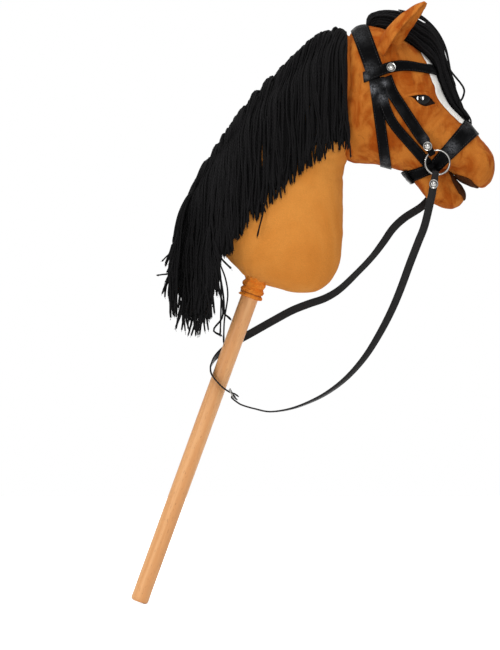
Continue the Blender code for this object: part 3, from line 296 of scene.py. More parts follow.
def add_piece(name, points, faces, material, body="horse", slot=None, stands_for=(), uv=None, tone=None, sharp=None):
    """A mesh object of these points and faces, facing outwards, that rides on a body."""
    mesh = bpy.data.meshes.new(name)
    mesh.from_pydata(np.asarray(points, float).reshape(-1, 3).tolist(), [], [list(map(int, face)) for face in faces])
    if uv is not None:
        mesh.uv_layers.new(name="lay").data.foreach_set("uv", np.asarray(uv, np.float32).ravel())
    if tone is not None:
        store_tone(mesh, tone)
    build = bmesh.new()
    build.from_mesh(mesh)
    if build.calc_volume(signed=True) < 0.0:
        mesh.flip_normals()
    build.free()
    mesh.materials.append(material)
    mesh.shade_smooth()
    if sharp is not None:
        mesh.set_sharp_from_angle(angle=math.radians(sharp))
    piece = put(name, mesh)
    if body:
        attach(piece, body)
    if stands_for:
        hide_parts(*stands_for)
    return piece


def store_tone(mesh, values):
    """One number on each point, which the finishes read as tone."""
    mesh.attributes.new("tone", "FLOAT", "POINT").data.foreach_set("value", np.asarray(values, np.float32).ravel())


def points_of(piece, what="co"):
    """The points of a piece as an array, or their normals."""
    values = np.empty(len(piece.data.vertices) * 3)
    piece.data.vertices.foreach_get(what, values)
    return values.reshape(-1, 3)


def skin(*pieces):
    """One search tree over the faces of these pieces."""
    points, faces = [], []
    for piece in pieces:
        faces += [[len(points) + index for index in polygon.vertices] for polygon in piece.data.polygons]
        points += points_of(piece).tolist()
    return BVHTree.FromPolygons(points, faces)


def cast(tree, starts, directions):
    """Where each ray first meets the surface; not a number where it misses."""
    rays = zip(starts.reshape(-1, 3).tolist(), directions.reshape(-1, 3).tolist())
    hits = [tree.ray_cast(Vector(start), Vector(direction))[0] for start, direction in rays]
    return np.array([hit[:] if hit is not None else (np.nan,) * 3 for hit in hits]).reshape(starts.shape)


# %% [markdown]
# Yarn, thread and stitches are all the same shape: thin tubes along many short paths. One function makes a whole
# bundle of them at once, with a map that runs round each tube and along it in metres, for patterns that follow it.


# %% Bundles of tubes
def bundle(paths, radii, sides=5, guide=(1.0, 0.13, 0.21)):
    """Tubes along many paths: at each path point stands a ring, radius times the cosine and sine of even angles.

    The ring lies across the path: one axis is the path's direction crossed with the guide, the other is square to it.
    """
    strands, stations = paths.shape[:2]
    along = unit(np.gradient(paths, axis=1))
    across = unit(np.cross(along, np.broadcast_to(guide, along.shape)))
    upward = np.cross(along, across)
    turn = full_turn(sides)
    spokes = across[..., None, :] * np.cos(turn)[:, None] + upward[..., None, :] * np.sin(turn)[:, None]
    points = paths[..., None, :] + spokes * np.broadcast_to(radii, (strands, stations))[..., None, None]
    first = np.arange(strands)[:, None, None] * stations * sides
    quads = (first + grid_faces(stations, sides, wrap=True)[None]).reshape(-1, 4)
    caps = first[:, 0] + np.arange(sides)
    ends = caps + (stations - 1) * sides
    faces = quads.tolist() + caps[:, ::-1].tolist() + ends.tolist()
    run = run_along(paths)
    u = np.broadcast_to((np.arange(sides)[:, None] + np.array([0, 1, 1, 0])) / sides, (strands, stations - 1, sides, 4))
    v = np.broadcast_to(np.stack([run[:, :-1], run[:, :-1], run[:, 1:], run[:, 1:]], axis=-1)[:, :, None, :], u.shape)
    uv = np.concatenate([np.stack([u, v], axis=-1).reshape(-1, 2), np.zeros((2 * strands * sides, 2))])
    return points.reshape(-1, 3), faces, uv


def ripples(points, length, seed, waves=14):
    """Smooth noise: the mean of cosines of the point along random directions, each about one length long."""
    random = np.random.default_rng(seed)
    ways = unit(random.normal(size=(waves, 3))) * random.uniform(0.6, 1.6, (waves, 1)) * 2.0 * math.pi / length
    phases = random.uniform(0.0, 2.0 * math.pi, waves)
    return np.cos(points @ ways.T + phases).sum(axis=-1) / math.sqrt(waves)


def circle_round(axis, turn, guide=(0.31, 0.87, 0.22)):
    """Unit vectors square to an axis: a spoke times each turn's cosine, plus the next spoke times its sine."""
    spoke = unit(np.cross(axis, guide))
    return spoke * np.cos(turn)[..., None] + np.cross(axis, spoke) * np.sin(turn)[..., None]


def turned(profile, base, axis, sides=64, ring=False):
    """A turned form: stations (radius, height) carried round an axis; a ring joins its last station to its first."""
    axis = unit(np.asarray(axis, float))
    circle = circle_round(axis, full_turn(sides))
    profile = np.asarray(profile, float)
    points = base + axis * profile[:, 1, None, None] + circle[None] * profile[:, 0, None, None]
    if ring:
        faces = grid_faces(len(profile) + 1, sides, wrap=True) % (len(profile) * sides)
        return points.reshape(-1, 3), faces.tolist()
    return points.reshape(-1, 3), tube_faces(len(profile), sides)


print("mesh helpers ready")

# %% [markdown]
# ## Finishes
#
# A finish is a small net of shader nodes. The effects that several finishes share are groups: short pile cloth,
# leather, twisted yarn, beech, and smooth metal or plastic. Each puts out a colour, a roughness and a height, and every
# material sets the group's values for its own stuff. Patterns are placed in metres on the object itself, so a grain has
# the same size on a wide strap and on a narrow one.


# %% Node helpers
def place(tree, kind, sockets=None, **settings):
    """A node with its settings; each named or numbered socket gets a value, or a link where the value is a socket."""
    node = tree.nodes.new(kind)
    for name, value in settings.items():
        setattr(node, name, value)
    for key, value in (sockets or {}).items():
        if isinstance(value, bpy.types.NodeSocket):
            tree.links.new(value, node.inputs[key])
        else:
            node.inputs[key].default_value = value
    return node


def blend(tree, share, first, second, mode="MIX"):
    """A colour mixed from two, by a share from 0 to 1."""
    return place(tree, "ShaderNodeMix", {0: share, 6: first, 7: second}, data_type="RGBA", blend_type=mode).outputs[2]


def compute(tree, operation, first, second=0.0, third=0.0):
    """One step of arithmetic."""
    return place(tree, "ShaderNodeMath", {0: first, 1: second, 2: third}, operation=operation).outputs[0]


def remap(tree, value, low, high, start=0.0, end=1.0):
    """A value between low and high becomes one between start and end, with a soft start and stop."""
    return place(tree, "ShaderNodeMapRange", {0: value, 1: low, 2: high, 3: start, 4: end},
                 interpolation_type="SMOOTHSTEP").outputs[0]


def noise(tree, vector, scale, detail=2.0, roughness=0.5, distortion=0.0):
    """Soft noise with so many blotches to the metre."""
    return place(tree, "ShaderNodeTexNoise", {"Vector": vector, "Scale": scale, "Detail": detail,
                                              "Roughness": roughness, "Distortion": distortion}).outputs[0]


def object_place(tree):
    """Where a point lies on its object, in metres."""
    return place(tree, "ShaderNodeTexCoord").outputs["Object"]


def mapped(tree, vector, scale, rotation=(0.0, 0.0, 0.0)):
    """A place stretched and then turned."""
    return place(tree, "ShaderNodeMapping", {"Vector": vector, "Rotation": rotation, "Scale": scale}).outputs[0]


def stored_tone(tree):
    """The number that a piece stores on its points."""
    return place(tree, "ShaderNodeAttribute", attribute_name="tone").outputs["Fac"]


def new_group(name, **inputs):
    """An empty node group with these inputs that puts out a colour, a roughness and a height."""
    tree = bpy.data.node_groups.new(name, "ShaderNodeTree")
    kinds = {True: "NodeSocketFloat", False: "NodeSocketColor"}
    for label, default in inputs.items():
        socket = tree.interface.new_socket(label, in_out="INPUT", socket_type=kinds[isinstance(default, float)])
        socket.default_value = default
    for label in ("Colour", "Roughness", "Height"):
        tree.interface.new_socket(label, in_out="OUTPUT", socket_type=kinds[label != "Colour"])
    return tree, tree.nodes.new("NodeGroupInput").outputs


def put_out(tree, colour, roughness, height):
    """Links the three results of a group."""
    last = tree.nodes.new("NodeGroupOutput")
    for socket, value in zip(last.inputs, (colour, roughness, height)):
        tree.links.new(value, socket)


def finish_with(name, group, values, bump=0.001, **shader_values):
    """A material whose colour, roughness and bump come from a group with these values."""
    material = bpy.data.materials.new(name)
    material.use_nodes = True
    tree = material.node_tree
    shader = tree.nodes["Principled BSDF"]
    pattern = place(tree, "ShaderNodeGroup", node_tree=group)
    for label, value in values.items():
        pattern.inputs[label].default_value = value
    tree.links.new(pattern.outputs["Colour"], shader.inputs["Base Color"])
    tree.links.new(pattern.outputs["Roughness"], shader.inputs["Roughness"])
    relief = place(tree, "ShaderNodeBump", {"Height": pattern.outputs["Height"], "Distance": bump, "Strength": 1.0})
    tree.links.new(relief.outputs["Normal"], shader.inputs["Normal"])
    for label, value in shader_values.items():
        shader.inputs[label.replace("_", " ")].default_value = value
    material.diffuse_color = tuple(values.get("Colour", (0.5, 0.5, 0.5, 1.0)))
    return material


# %% [markdown]
# ### Short pile cloth
#
# Velour looks light where its pile leans towards the eye and dark where a hand has brushed it the other way, so it is
# never one colour. Soft, slightly drawn-out blotches mix a light, a middle and a dark tone; a much finer noise is the
# pile itself. A number on the points can turn it to the colour beyond a seam. A little sheen on the shader brightens
# the rounded edges as real pile does.

# %% Pile cloth group
pile, given = new_group(
    "short_pile", Colour=(0.6, 0.25, 0.05, 1), Brushed=(0.5, 0.15, 0.03, 1), Shadow=(0.25, 0.08, 0.02, 1),
    Blotches=30.0, Brushing=0.7, Stains=0.4, Pile=900.0, Beyond=(0.5, 0.2, 0.03, 1))
where = object_place(pile)
drawn_out = mapped(pile, where, (1.0, 1.0, 0.55), (0.3, 0.5, 0.2))
brushed = remap(pile, noise(pile, drawn_out, given["Blotches"], 3.0, 0.55, 0.9), 0.36, 0.66)
stained = remap(pile, noise(pile, drawn_out, compute(pile, "MULTIPLY", given["Blotches"], 1.9), 2.0, 0.5, 1.6),
                0.56, 0.78)
fibres = noise(pile, where, given["Pile"], 1.0)
tone = blend(pile, compute(pile, "MULTIPLY", brushed, given["Brushing"]), given["Colour"], given["Brushed"])
tone = blend(pile, compute(pile, "MULTIPLY", stained, given["Stains"]), tone, given["Shadow"])
tone = blend(pile, stored_tone(pile), tone, given["Beyond"])
speckle = place(pile, "ShaderNodeHueSaturation", {"Color": tone, "Value": remap(pile, fibres, 0.3, 0.7, 0.90, 1.10)})
lumps = noise(pile, where, 140.0, 2.0)
put_out(pile, speckle.outputs[0], remap(pile, brushed, 0.0, 1.0, 0.78, 0.92),
        compute(pile, "MULTIPLY_ADD", fibres, 0.35, lumps))

velour_neck = finish_with(
    "velour_neck", pile,
    {"Colour": (0.67, 0.262, 0.048, 1), "Brushed": (0.58, 0.195, 0.028, 1), "Shadow": (0.38, 0.110, 0.012, 1),
     "Blotches": 11.0, "Brushing": 0.75, "Stains": 0.25, "Pile": 1500.0, "Beyond": (0.42, 0.115, 0.013, 1)},
    bump=0.0006, Sheen_Weight=0.05, Sheen_Roughness=0.45, Sheen_Tint=(1.0, 0.7, 0.4, 1.0), Specular_IOR_Level=0.08)
velour_head = finish_with(
    "velour_head", pile,
    {"Colour": (0.50, 0.160, 0.022, 1), "Brushed": (0.32, 0.062, 0.004, 1), "Shadow": (0.13, 0.022, 0.002, 1),
     "Blotches": 46.0, "Brushing": 1.0, "Stains": 0.42, "Pile": 1500.0},
    bump=0.0007, Sheen_Weight=0.06, Sheen_Roughness=0.45, Sheen_Tint=(1.0, 0.6, 0.3, 1.0), Specular_IOR_Level=0.08)
velour_cuff = finish_with(
    "velour_cuff", pile,
    {"Colour": (0.80, 0.27, 0.036, 1), "Brushed": (0.70, 0.19, 0.018, 1), "Shadow": (0.34, 0.070, 0.007, 1),
     "Blotches": 60.0, "Brushing": 0.8, "Stains": 0.5, "Pile": 1500.0},
    bump=0.0006, Sheen_Weight=0.06, Sheen_Roughness=0.45, Sheen_Tint=(1.0, 0.7, 0.4, 1.0), Specular_IOR_Level=0.08)
blaze_pile = finish_with(
    "blaze_pile", pile,
    {"Colour": (0.84, 0.82, 0.78, 1), "Brushed": (0.76, 0.73, 0.68, 1), "Shadow": (0.55, 0.50, 0.44, 1),
     "Blotches": 70.0, "Brushing": 0.6, "Stains": 0.3, "Pile": 1700.0},
    bump=0.0007, Sheen_Weight=0.15, Sheen_Roughness=0.5, Specular_IOR_Level=0.15)
mouth_felt = finish_with(
    "mouth_felt", pile,
    {"Colour": (0.060, 0.021, 0.008, 1), "Brushed": (0.038, 0.012, 0.005, 1), "Shadow": (0.014, 0.004, 0.002, 1),
     "Blotches": 90.0, "Brushing": 0.8, "Stains": 0.5, "Pile": 1900.0},
    bump=0.0006, Specular_IOR_Level=0.05)
rim_felt = finish_with(
    "rim_felt", pile,
    {"Colour": (0.018, 0.009, 0.006, 1), "Brushed": (0.012, 0.006, 0.004, 1), "Shadow": (0.006, 0.003, 0.002, 1),
     "Blotches": 120.0, "Brushing": 0.8, "Stains": 0.4, "Pile": 2100.0},
    bump=0.0004, Specular_IOR_Level=0.04)
print("pile cloth finishes: neck, head, cuff, blaze, mouth, eye rims")

# %% [markdown]
# ### Bridle leather
#
# The bridle is coated leather: nearly black, with a fine pebble grain, a few soft creases across it and a polish that
# is smoother in some places than in others. At listed places the colour is painted grey in streaks, a painted sheen
# where the glossy coating would catch the light; a number stored on the strap's points says where.

# %% Leather group
hide, given = new_group("coated_hide", Colour=(0.012, 0.012, 0.013, 1), Rubbed=(0.035, 0.034, 0.035, 1),
                        Grain=1500.0, Creases=120.0, Polish=0.30)
where = object_place(hide)
pebbles = place(hide, "ShaderNodeTexVoronoi", {"Vector": where, "Scale": given["Grain"], "Randomness": 0.9}).outputs[0]
folds = noise(hide, where, given["Creases"], 4.0, 0.6, 2.2)
ridges = compute(hide, "ABSOLUTE", compute(hide, "SUBTRACT", folds, 0.5))
creased = remap(hide, ridges, 0.0, 0.05)
cloudy = noise(hide, where, 45.0, 3.0, 0.6, 0.6)
streaks = remap(hide, noise(hide, where, 330.0, 4.0, 0.65, 1.4), 0.38, 0.62, 0.15, 1.0)
# Painted sheen: the stored number, broken into streaks, turns the leather towards the grey of painted highlights.
painted_sheen = compute(hide, "MULTIPLY", stored_tone(hide), streaks)
cloud_and_painted_sheen = compute(hide, "MULTIPLY_ADD", remap(hide, cloudy, 0.5, 0.74), 0.035, painted_sheen)
polish = compute(hide, "ADD", given["Polish"], remap(hide, cloudy, 0.3, 0.7, -0.06, 0.14))
grain = compute(hide, "MULTIPLY", pebbles, 0.18)
put_out(hide, blend(hide, cloud_and_painted_sheen, given["Colour"], given["Rubbed"]), polish,
        compute(hide, "MULTIPLY_ADD", creased, 0.35, grain))

# The second colour of each leather is the grey of its painted highlights.
bridle_leather = finish_with(
    "bridle_leather", hide,
    {"Colour": (0.0022, 0.0022, 0.0025, 1), "Rubbed": (0.20, 0.205, 0.22, 1), "Grain": 1500.0, "Creases": 110.0,
     "Polish": 0.26},
    bump=0.0003, Specular_IOR_Level=0.025)
rein_leather = finish_with(
    "rein_leather", hide,
    {"Colour": (0.016, 0.0154, 0.0154, 1), "Rubbed": (0.16, 0.155, 0.155, 1), "Grain": 1700.0, "Creases": 160.0,
     "Polish": 0.28},
    bump=0.00025, Specular_IOR_Level=0.06)
print("leather finishes: bridle, reins")

# %% [markdown]
# ### Twisted yarn
#
# Mane yarn is three plies twisted together. Round the tube and along it run the two coordinates of its map, and the
# twist is simply their sum: the plies are stripes that climb as they go round. The same group, at a smaller pitch,
# is the sewing thread. A number stored on each strand makes some lighter than their neighbours.

# %% Yarn group
twist, given = new_group("twisted_yarn", Colour=(0.01, 0.01, 0.01, 1), Groove=(0.003, 0.003, 0.003, 1),
                         Pitch=0.004, Plies=3.0, Fading=0.6)
lay = place(twist, "ShaderNodeSeparateXYZ", {0: place(twist, "ShaderNodeUVMap", uv_map="lay").outputs[0]}).outputs
climb = compute(twist, "ADD", compute(twist, "MULTIPLY", lay[0], given["Plies"]),
                compute(twist, "DIVIDE", lay[1], given["Pitch"]))
ply = compute(twist, "SINE", compute(twist, "MULTIPLY", compute(twist, "FRACT", climb), math.pi))
fuzz = noise(twist, object_place(twist), 2200.0, 2.0)
lit = blend(twist, remap(twist, ply, 0.0, 0.8), given["Groove"], given["Colour"])
faded = compute(twist, "MULTIPLY_ADD", compute(twist, "MULTIPLY", stored_tone(twist), given["Fading"]), 1.0,
                remap(twist, fuzz, 0.3, 0.7, 0.65, 1.2))
shaded = place(twist, "ShaderNodeHueSaturation", {"Color": lit, "Value": faded}).outputs[0]
put_out(twist, shaded, remap(twist, fuzz, 0.0, 1.0, 0.62, 0.85), compute(twist, "MULTIPLY_ADD", fuzz, 0.25, ply))

mane_yarn = finish_with(
    "mane_yarn", twist,
    {"Colour": (0.0040, 0.0037, 0.0040, 1), "Groove": (0.0008, 0.0008, 0.0008, 1), "Pitch": 0.0042, "Plies": 3.0,
     "Fading": 1.3},
    bump=0.0005, Specular_IOR_Level=0.10)
seam_thread = finish_with(
    "seam_thread", twist,
    {"Colour": (0.060, 0.058, 0.058, 1), "Groove": (0.02, 0.02, 0.02, 1), "Pitch": 0.0012, "Plies": 2.0,
     "Fading": 0.4},
    bump=0.0001, Specular_IOR_Level=0.3)
cuff_cord = finish_with(
    "cuff_cord", twist,
    {"Colour": (0.42, 0.12, 0.02, 1), "Groove": (0.16, 0.04, 0.008, 1), "Pitch": 0.0028, "Plies": 2.0,
     "Fading": 0.3},
    bump=0.0003, Specular_IOR_Level=0.2)
print("yarn finishes: mane, seam thread, cuff cord")

# %% [markdown]
# ### Beech, nickel, eye and small plastic
#
# Beech has fine growth lines along the stick and short dark flecks, its best known mark. The pattern is turned by the
# stick's lean so that the lines run along it. Nickel plating is bright with a faint haze and hairline scratches; in an
# all-white room it would look flat, so a painted reflection of a dark room darkens its colour in a band between what
# faces the eye and what turns away. The safety eye is glossy black plastic, and its washer inside the plush is plain
# milky plastic.

# %% Beech group and finish
beech, given = new_group("beech", Colour=(0.75, 0.38, 0.15, 1), Lines=(0.62, 0.27, 0.09, 1),
                         Flecks=(0.36, 0.14, 0.05, 1), Growth=130.0)
where = mapped(beech, object_place(beech), (1.0, 1.0, 1.0), (0.0, -LEAN, 0.0))
stretched, short_marks = (mapped(beech, where, (1.0, 1.0, height)) for height in (0.05, 0.22))
growth = noise(beech, stretched, given["Growth"], 4.0, 0.6, 0.5)
fine_lines = noise(beech, stretched, compute(beech, "MULTIPLY", given["Growth"], 6.0), 2.0, 0.5)
flecked = remap(beech, noise(beech, short_marks, 900.0, 1.0), 0.66, 0.74)
tone = blend(beech, remap(beech, growth, 0.35, 0.65), given["Colour"], given["Lines"])
tone = blend(beech, remap(beech, fine_lines, 0.45, 0.75, 0.0, 0.35), tone, given["Lines"])
tone = blend(beech, compute(beech, "MULTIPLY", flecked, 0.55), tone, given["Flecks"])
broad = remap(beech, noise(beech, stretched, 30.0, 2.0), 0.3, 0.7, 0.95, 1.05)
put_out(beech, place(beech, "ShaderNodeHueSaturation", {"Color": tone, "Value": broad}).outputs[0],
        remap(beech, fine_lines, 0.3, 0.7, 0.38, 0.52),
        compute(beech, "SUBTRACT", fine_lines, compute(beech, "MULTIPLY", flecked, 0.4)))
stick_beech = finish_with(
    "stick_beech", beech,
    {"Colour": (0.77, 0.40, 0.165, 1), "Lines": (0.66, 0.30, 0.105, 1), "Flecks": (0.40, 0.16, 0.055, 1),
     "Growth": 120.0},
    bump=0.00012, Specular_IOR_Level=0.4)

# %% Metal and plastic group and finishes
smooth_stuff, given = new_group("handled_smooth", Colour=(0.8, 0.8, 0.8, 1), Haze=(0.6, 0.6, 0.6, 1), Gloss=0.15,
                                Unevenness=0.08)
where = object_place(smooth_stuff)
hazy = remap(smooth_stuff, noise(smooth_stuff, where, 160.0, 3.0, 0.6, 0.4), 0.35, 0.75)
hairlines = noise(smooth_stuff, mapped(smooth_stuff, where, (1.0, 0.06, 1.0), (0.4, 0.9, 0.2)), 3000.0, 1.0)
put_out(smooth_stuff, blend(smooth_stuff, hazy, given["Colour"], given["Haze"]),
        compute(smooth_stuff, "MULTIPLY_ADD", hazy, given["Unevenness"], given["Gloss"]),
        compute(smooth_stuff, "MULTIPLY", hairlines, given["Unevenness"]))

bright_nickel = finish_with(
    "bright_nickel", smooth_stuff,
    {"Colour": (0.66, 0.645, 0.61, 1), "Haze": (0.46, 0.45, 0.43, 1), "Gloss": 0.09, "Unevenness": 0.08},
    bump=0.00006, Metallic=1.0)
tree = bright_nickel.node_tree
shader = tree.nodes["Principled BSDF"]
plain = shader.inputs["Base Color"].links[0].from_socket
# Painted reflection of a dark room: the colour darkens in a band between what faces the eye and what turns away.
painted_reflection = place(tree, "ShaderNodeValToRGB", {"Fac": place(tree, "ShaderNodeLayerWeight").outputs["Facing"]})
ramp = painted_reflection.color_ramp
for at, grey in ((0.05, 0.55), (0.15, 0.10), (0.42, 0.16), (0.62, 0.75)):
    ramp.elements.new(at).color = (grey, grey, grey, 1.0)
ramp.elements[0].color = (0.62, 0.62, 0.62, 1.0)
ramp.elements[-1].color = (0.35, 0.35, 0.35, 1.0)
tree.links.new(blend(tree, 1.0, plain, painted_reflection.outputs[0], "MULTIPLY"), shader.inputs["Base Color"])
eye_gloss = finish_with(
    "eye_gloss", smooth_stuff,
    {"Colour": (0.004, 0.003, 0.003, 1), "Haze": (0.007, 0.005, 0.004, 1), "Gloss": 0.05, "Unevenness": 0.02},
    bump=0.00001, Specular_IOR_Level=0.12)
washer_plastic = finish_with(
    "washer_plastic", smooth_stuff,
    {"Colour": (0.70, 0.70, 0.68, 1), "Haze": (0.62, 0.62, 0.60, 1), "Gloss": 0.42, "Unevenness": 0.12},
    bump=0.00008, Specular_IOR_Level=0.5)
print("finishes in all:", len(bpy.data.materials))

# %% [markdown]
# ## Floor and light
#
# The photograph's ground is pure white. The floor is a plain pale sheet under soft studio light; where the camera sees
# it, a little glow lifts it to white and still leaves the soft shadow at the stick's foot. Two small soft lamps in
# front give the rivets their bright points, a large one above shapes the plush.


# %% Floor, world and lamps
FLOOR_GLOW = 0.30
FLOOR_HALF = 12.0
WORLD_STRENGTH = 0.56
WHITE = (1.0, 1.0, 1.0, 1.0)
LAMPS_LOOK_AT = Vector((0.2, 0.0, 0.42))
LAMPS = [
    ("lamp_left", (-1.35, -1.85, 0.95), (0.30, 0.62), 9.5),
    ("lamp_front", (0.45, -2.60, 1.22), (0.30, 0.62), 11.0),
    ("lamp_above", (0.1, -0.4, 2.3), (1.6, 1.6), 20.0),
]


def seen_by(tree, *kinds):
    """1 where one of these kinds of ray looks, else 0."""
    rays = place(tree, "ShaderNodeLightPath").outputs
    seen = rays[kinds[-1]]
    for kind in kinds[-2::-1]:
        seen = compute(tree, "MAXIMUM", rays[kind], seen)
    return seen


def pale_floor():
    """The floor's finish: nearly white, with fine paper tooth, and a faint glow for the camera alone."""
    material = bpy.data.materials.new("pale_floor")
    material.use_nodes = True
    tree = material.node_tree
    shader = tree.nodes["Principled BSDF"].inputs
    where = object_place(tree)
    tooth = noise(tree, where, 400.0, 2.0)
    tree.links.new(blend(tree, tooth, (0.93, 0.93, 0.93, 1), (0.95, 0.95, 0.95, 1)), shader["Base Color"])
    shader["Roughness"].default_value = 0.9
    shader["Specular IOR Level"].default_value = 0.1
    shader["Emission Color"].default_value = WHITE
    away = place(tree, "ShaderNodeVectorMath", {0: where}, operation="LENGTH").outputs["Value"]
    glow = remap(tree, away, 0.25, 1.0, FLOOR_GLOW, 1.0)
    seen = seen_by(tree, "Is Camera Ray", "Is Glossy Ray")
    tree.links.new(compute(tree, "MULTIPLY", seen, glow), shader["Emission Strength"])
    return material


def area_lamp(name, shape, size, energy, spot, looks):
    """A soft lamp of a shape and size (width, height), at a spot, that looks along a way."""
    data = bpy.data.lights.new(name, "AREA")
    data.shape = shape
    data.size, data.size_y = size
    data.energy = energy
    lamp = put(name, data)
    lamp.location = spot
    lamp.rotation_euler = looks.to_track_quat("-Z", "Y").to_euler()
    return lamp


floor_mesh = bpy.data.meshes.new("floor")
corners = [(-FLOOR_HALF, -FLOOR_HALF), (FLOOR_HALF, -FLOOR_HALF), (FLOOR_HALF, FLOOR_HALF), (-FLOOR_HALF, FLOOR_HALF)]
floor_mesh.from_pydata([(x, y, cad_box[0].z) for x, y in corners], [], [(0, 1, 2, 3)])
floor_mesh.materials.append(pale_floor())
floor = put("floor", floor_mesh)

world = bpy.data.worlds.new("studio")
bpy.context.scene.world = world
world.use_nodes = True
sky = world.node_tree
direct = seen_by(sky, "Is Camera Ray", "Is Glossy Ray", "Is Transmission Ray")
strength = compute(sky, "MULTIPLY_ADD", direct, 1.0 - WORLD_STRENGTH, WORLD_STRENGTH)
sky.nodes["Background"].inputs["Color"].default_value = WHITE
sky.links.new(strength, sky.nodes["Background"].inputs["Strength"])

for name, spot, size, power in LAMPS:
    area_lamp(name, "ELLIPSE", size, power, spot, LAMPS_LOOK_AT - Vector(spot))
print("stage and", len(LAMPS), "lamps set")

# %% [markdown]
# ## The plush
#
# Neck, head and lower jaw are sewn covers pushed full of filling. Each starts as ribs: from every point of its outline
# in the side view a rib swells out to a ridge line on either side, as the two halves of the cover do. The neck's mouth
# narrows to the stick, and the head's outline has the open mouth in it.


# %% Outlines and the swelling of a cover
NECK = dict(
    outline=[(108, 295), (79, 283), (55, 265), (33, 244), (8, 220), (-15, 195), (-33, 168), (-48, 140), (-62, 118),
             (-72, 99), (-77, 82), (-67, 63), (-45, 40), (-28, 21), (-13, 7), (11, -4), (34, -12), (54, -14),
             (78, -10), (93, 4), (101, 23), (103, 49), (104, 96), (105, 130), (110, 150), (122, 203), (122, 263)],
    ridge=[(23, 63), (100, 236)], half_widths=[0.052, 0.040], fullness=0.92)
HEAD = dict(
    outline=[(134, 303), (160, 298), (180, 286), (197, 272), (208, 258), (216, 240), (223, 221), (233, 205),
             (248, 190), (265, 173), (277, 159), (285, 145), (285, 132), (280, 118), (272, 111), (263, 112),
             (248, 118), (227, 131), (208, 128), (188, 127), (172, 132), (149, 138), (129, 140), (110, 144),
             (98, 156), (96, 192), (102, 239), (108, 281), (118, 299)],
    ridge=[(139, 217), (259, 145)], half_widths=[0.047, 0.033], fullness=0.86)
JAW = dict(
    outline=[(172, 146), (184, 125), (195, 110), (204, 98), (217, 89), (232, 86), (244, 90), (249, 99), (246, 110),
             (237, 122), (228, 133), (210, 148)],
    ridge=[(196, 130), (230, 104)], half_widths=[0.022, 0.019], fullness=0.86)


RIB_TURN = 88.0


def stuffed_shell(outline, ridge, half_widths, fullness, slack, around=160, rings=22):
    """The unfilled cover: a rib at angle t reaches cos(t) ** fullness of the way from the ridge to the outline, and
    stands sin(t) ** fullness of the half width, less the slack, to its side."""
    border = smooth_path(side(outline), around, closed=True)
    start, end = side(ridge)
    along = end - start
    share = clamped((border - start) @ along / (along @ along))
    keel = start + share[:, None] * along
    width = evenly(half_widths, share) - slack
    angle = np.radians(np.linspace(-RIB_TURN, RIB_TURN, 2 * rings + 1))[:, None]
    points = keel + (border - keel) * (np.cos(angle) ** fullness)[..., None]
    points[..., 1] = width * np.sign(angle) * np.abs(np.sin(angle)) ** fullness
    return points.reshape(-1, 3), tube_faces(2 * rings + 1, around)


# %% [markdown]
# The filling is the cloth solver's pressure. The cover is cut into even squares, its seam along the middle is held,
# and pressure pushes the two halves out until the cloth is tight. Each point may move only a few millimetres, so the
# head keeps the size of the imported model. Then one subdivision, and the creases are pressed in with arrays.


# %% Filling a cover
SIMULATED_FRAMES = 20
CLOTH = dict(quality=6, mass=0.25, tension_stiffness=12.0, compression_stiffness=12.0, bending_stiffness=0.4,
             use_pressure=True, uniform_pressure_force=4.0, vertex_group_mass="seam")


def applied(piece):
    """The piece's mesh with its modifiers worked in."""
    bpy.context.view_layer.update()
    return bpy.data.meshes.new_from_object(piece.evaluated_get(bpy.context.evaluated_depsgraph_get()))


def swap_mesh(piece, mesh):
    """Gives the piece that mesh and clears its modifiers."""
    old, piece.data = piece.data, mesh
    piece.modifiers.clear()
    bpy.data.meshes.remove(old)


def fill_cover(piece, voxel, most=0.0, seam=0.0025, ease=3):
    """Cuts the cover into even squares and blows it up with the cloth solver: a point moves most * tanh(move / most).

    With nothing to move, the cover is only cut into squares and eased.
    """
    remesh = piece.modifiers.new("squares", "REMESH")
    remesh.mode = "VOXEL"
    remesh.voxel_size = voxel
    swap_mesh(piece, applied(piece))
    rest = points_of(piece)
    if most:
        held = piece.vertex_groups.new(name="seam")
        held.add(np.flatnonzero(np.abs(rest[:, 1]) < seam).tolist(), 1.0, "REPLACE")
        cloth = piece.modifiers.new("filling", "CLOTH")
        for name, value in CLOTH.items():
            setattr(cloth.settings, name, value)
        cloth.settings.effector_weights.gravity = 0.0
        cloth.point_cache.frame_start = 1
        cloth.point_cache.frame_end = SIMULATED_FRAMES
        for step in range(1, SIMULATED_FRAMES + 1):
            bpy.context.scene.frame_set(step)
        blown = bpy.data.meshes.new_from_object(piece.evaluated_get(bpy.context.evaluated_depsgraph_get()))
        swap_mesh(piece, blown)
        bpy.context.scene.frame_set(1)
        move = points_of(piece) - rest
        length = np.linalg.norm(move, axis=1, keepdims=True) + 1e-9
        rest = rest + move / length * most * np.tanh(length / most)
        piece.data.vertices.foreach_set("co", rest.ravel())
        print(piece.name, "filled; most it moved:", round(float(length.max()) * 1000, 1), "mm before the cap")
    smooth = piece.modifiers.new("ease", "SMOOTH")
    smooth.factor = 0.5
    smooth.iterations = ease
    finer = piece.modifiers.new("finer", "SUBSURF")
    finer.levels = finer.render_levels = 1
    swap_mesh(piece, applied(piece))
    piece.data.shade_smooth()


def press_in(piece, relief):
    """Moves every point along its normal by relief(points), in metres."""
    points = points_of(piece)
    points = points + points_of(piece, "normal") * relief(points)[:, None]
    piece.data.vertices.foreach_set("co", points.ravel())
    piece.data.update()


def off_line(points, line):
    """Each point's distance in the side view from a drawn line, in millimetres."""
    drawn = smooth_path(side(line), 60)[:, [0, 2]]
    flat = points[:, [0, 2]]
    return np.sqrt(((flat[:, None, :] - drawn[None]) ** 2).sum(-1).min(1)) * 1000.0


def bump(distance, width):
    """A soft hill: e to the minus square of distance over width."""
    return np.exp(-(distance / width) ** 2)


# %% [markdown]
# The neck is tight and smooth, with faint hollows where the filling has shifted, puckers where the cover is gathered
# round the stick, and a few soft folds at the throat where it meets the head.

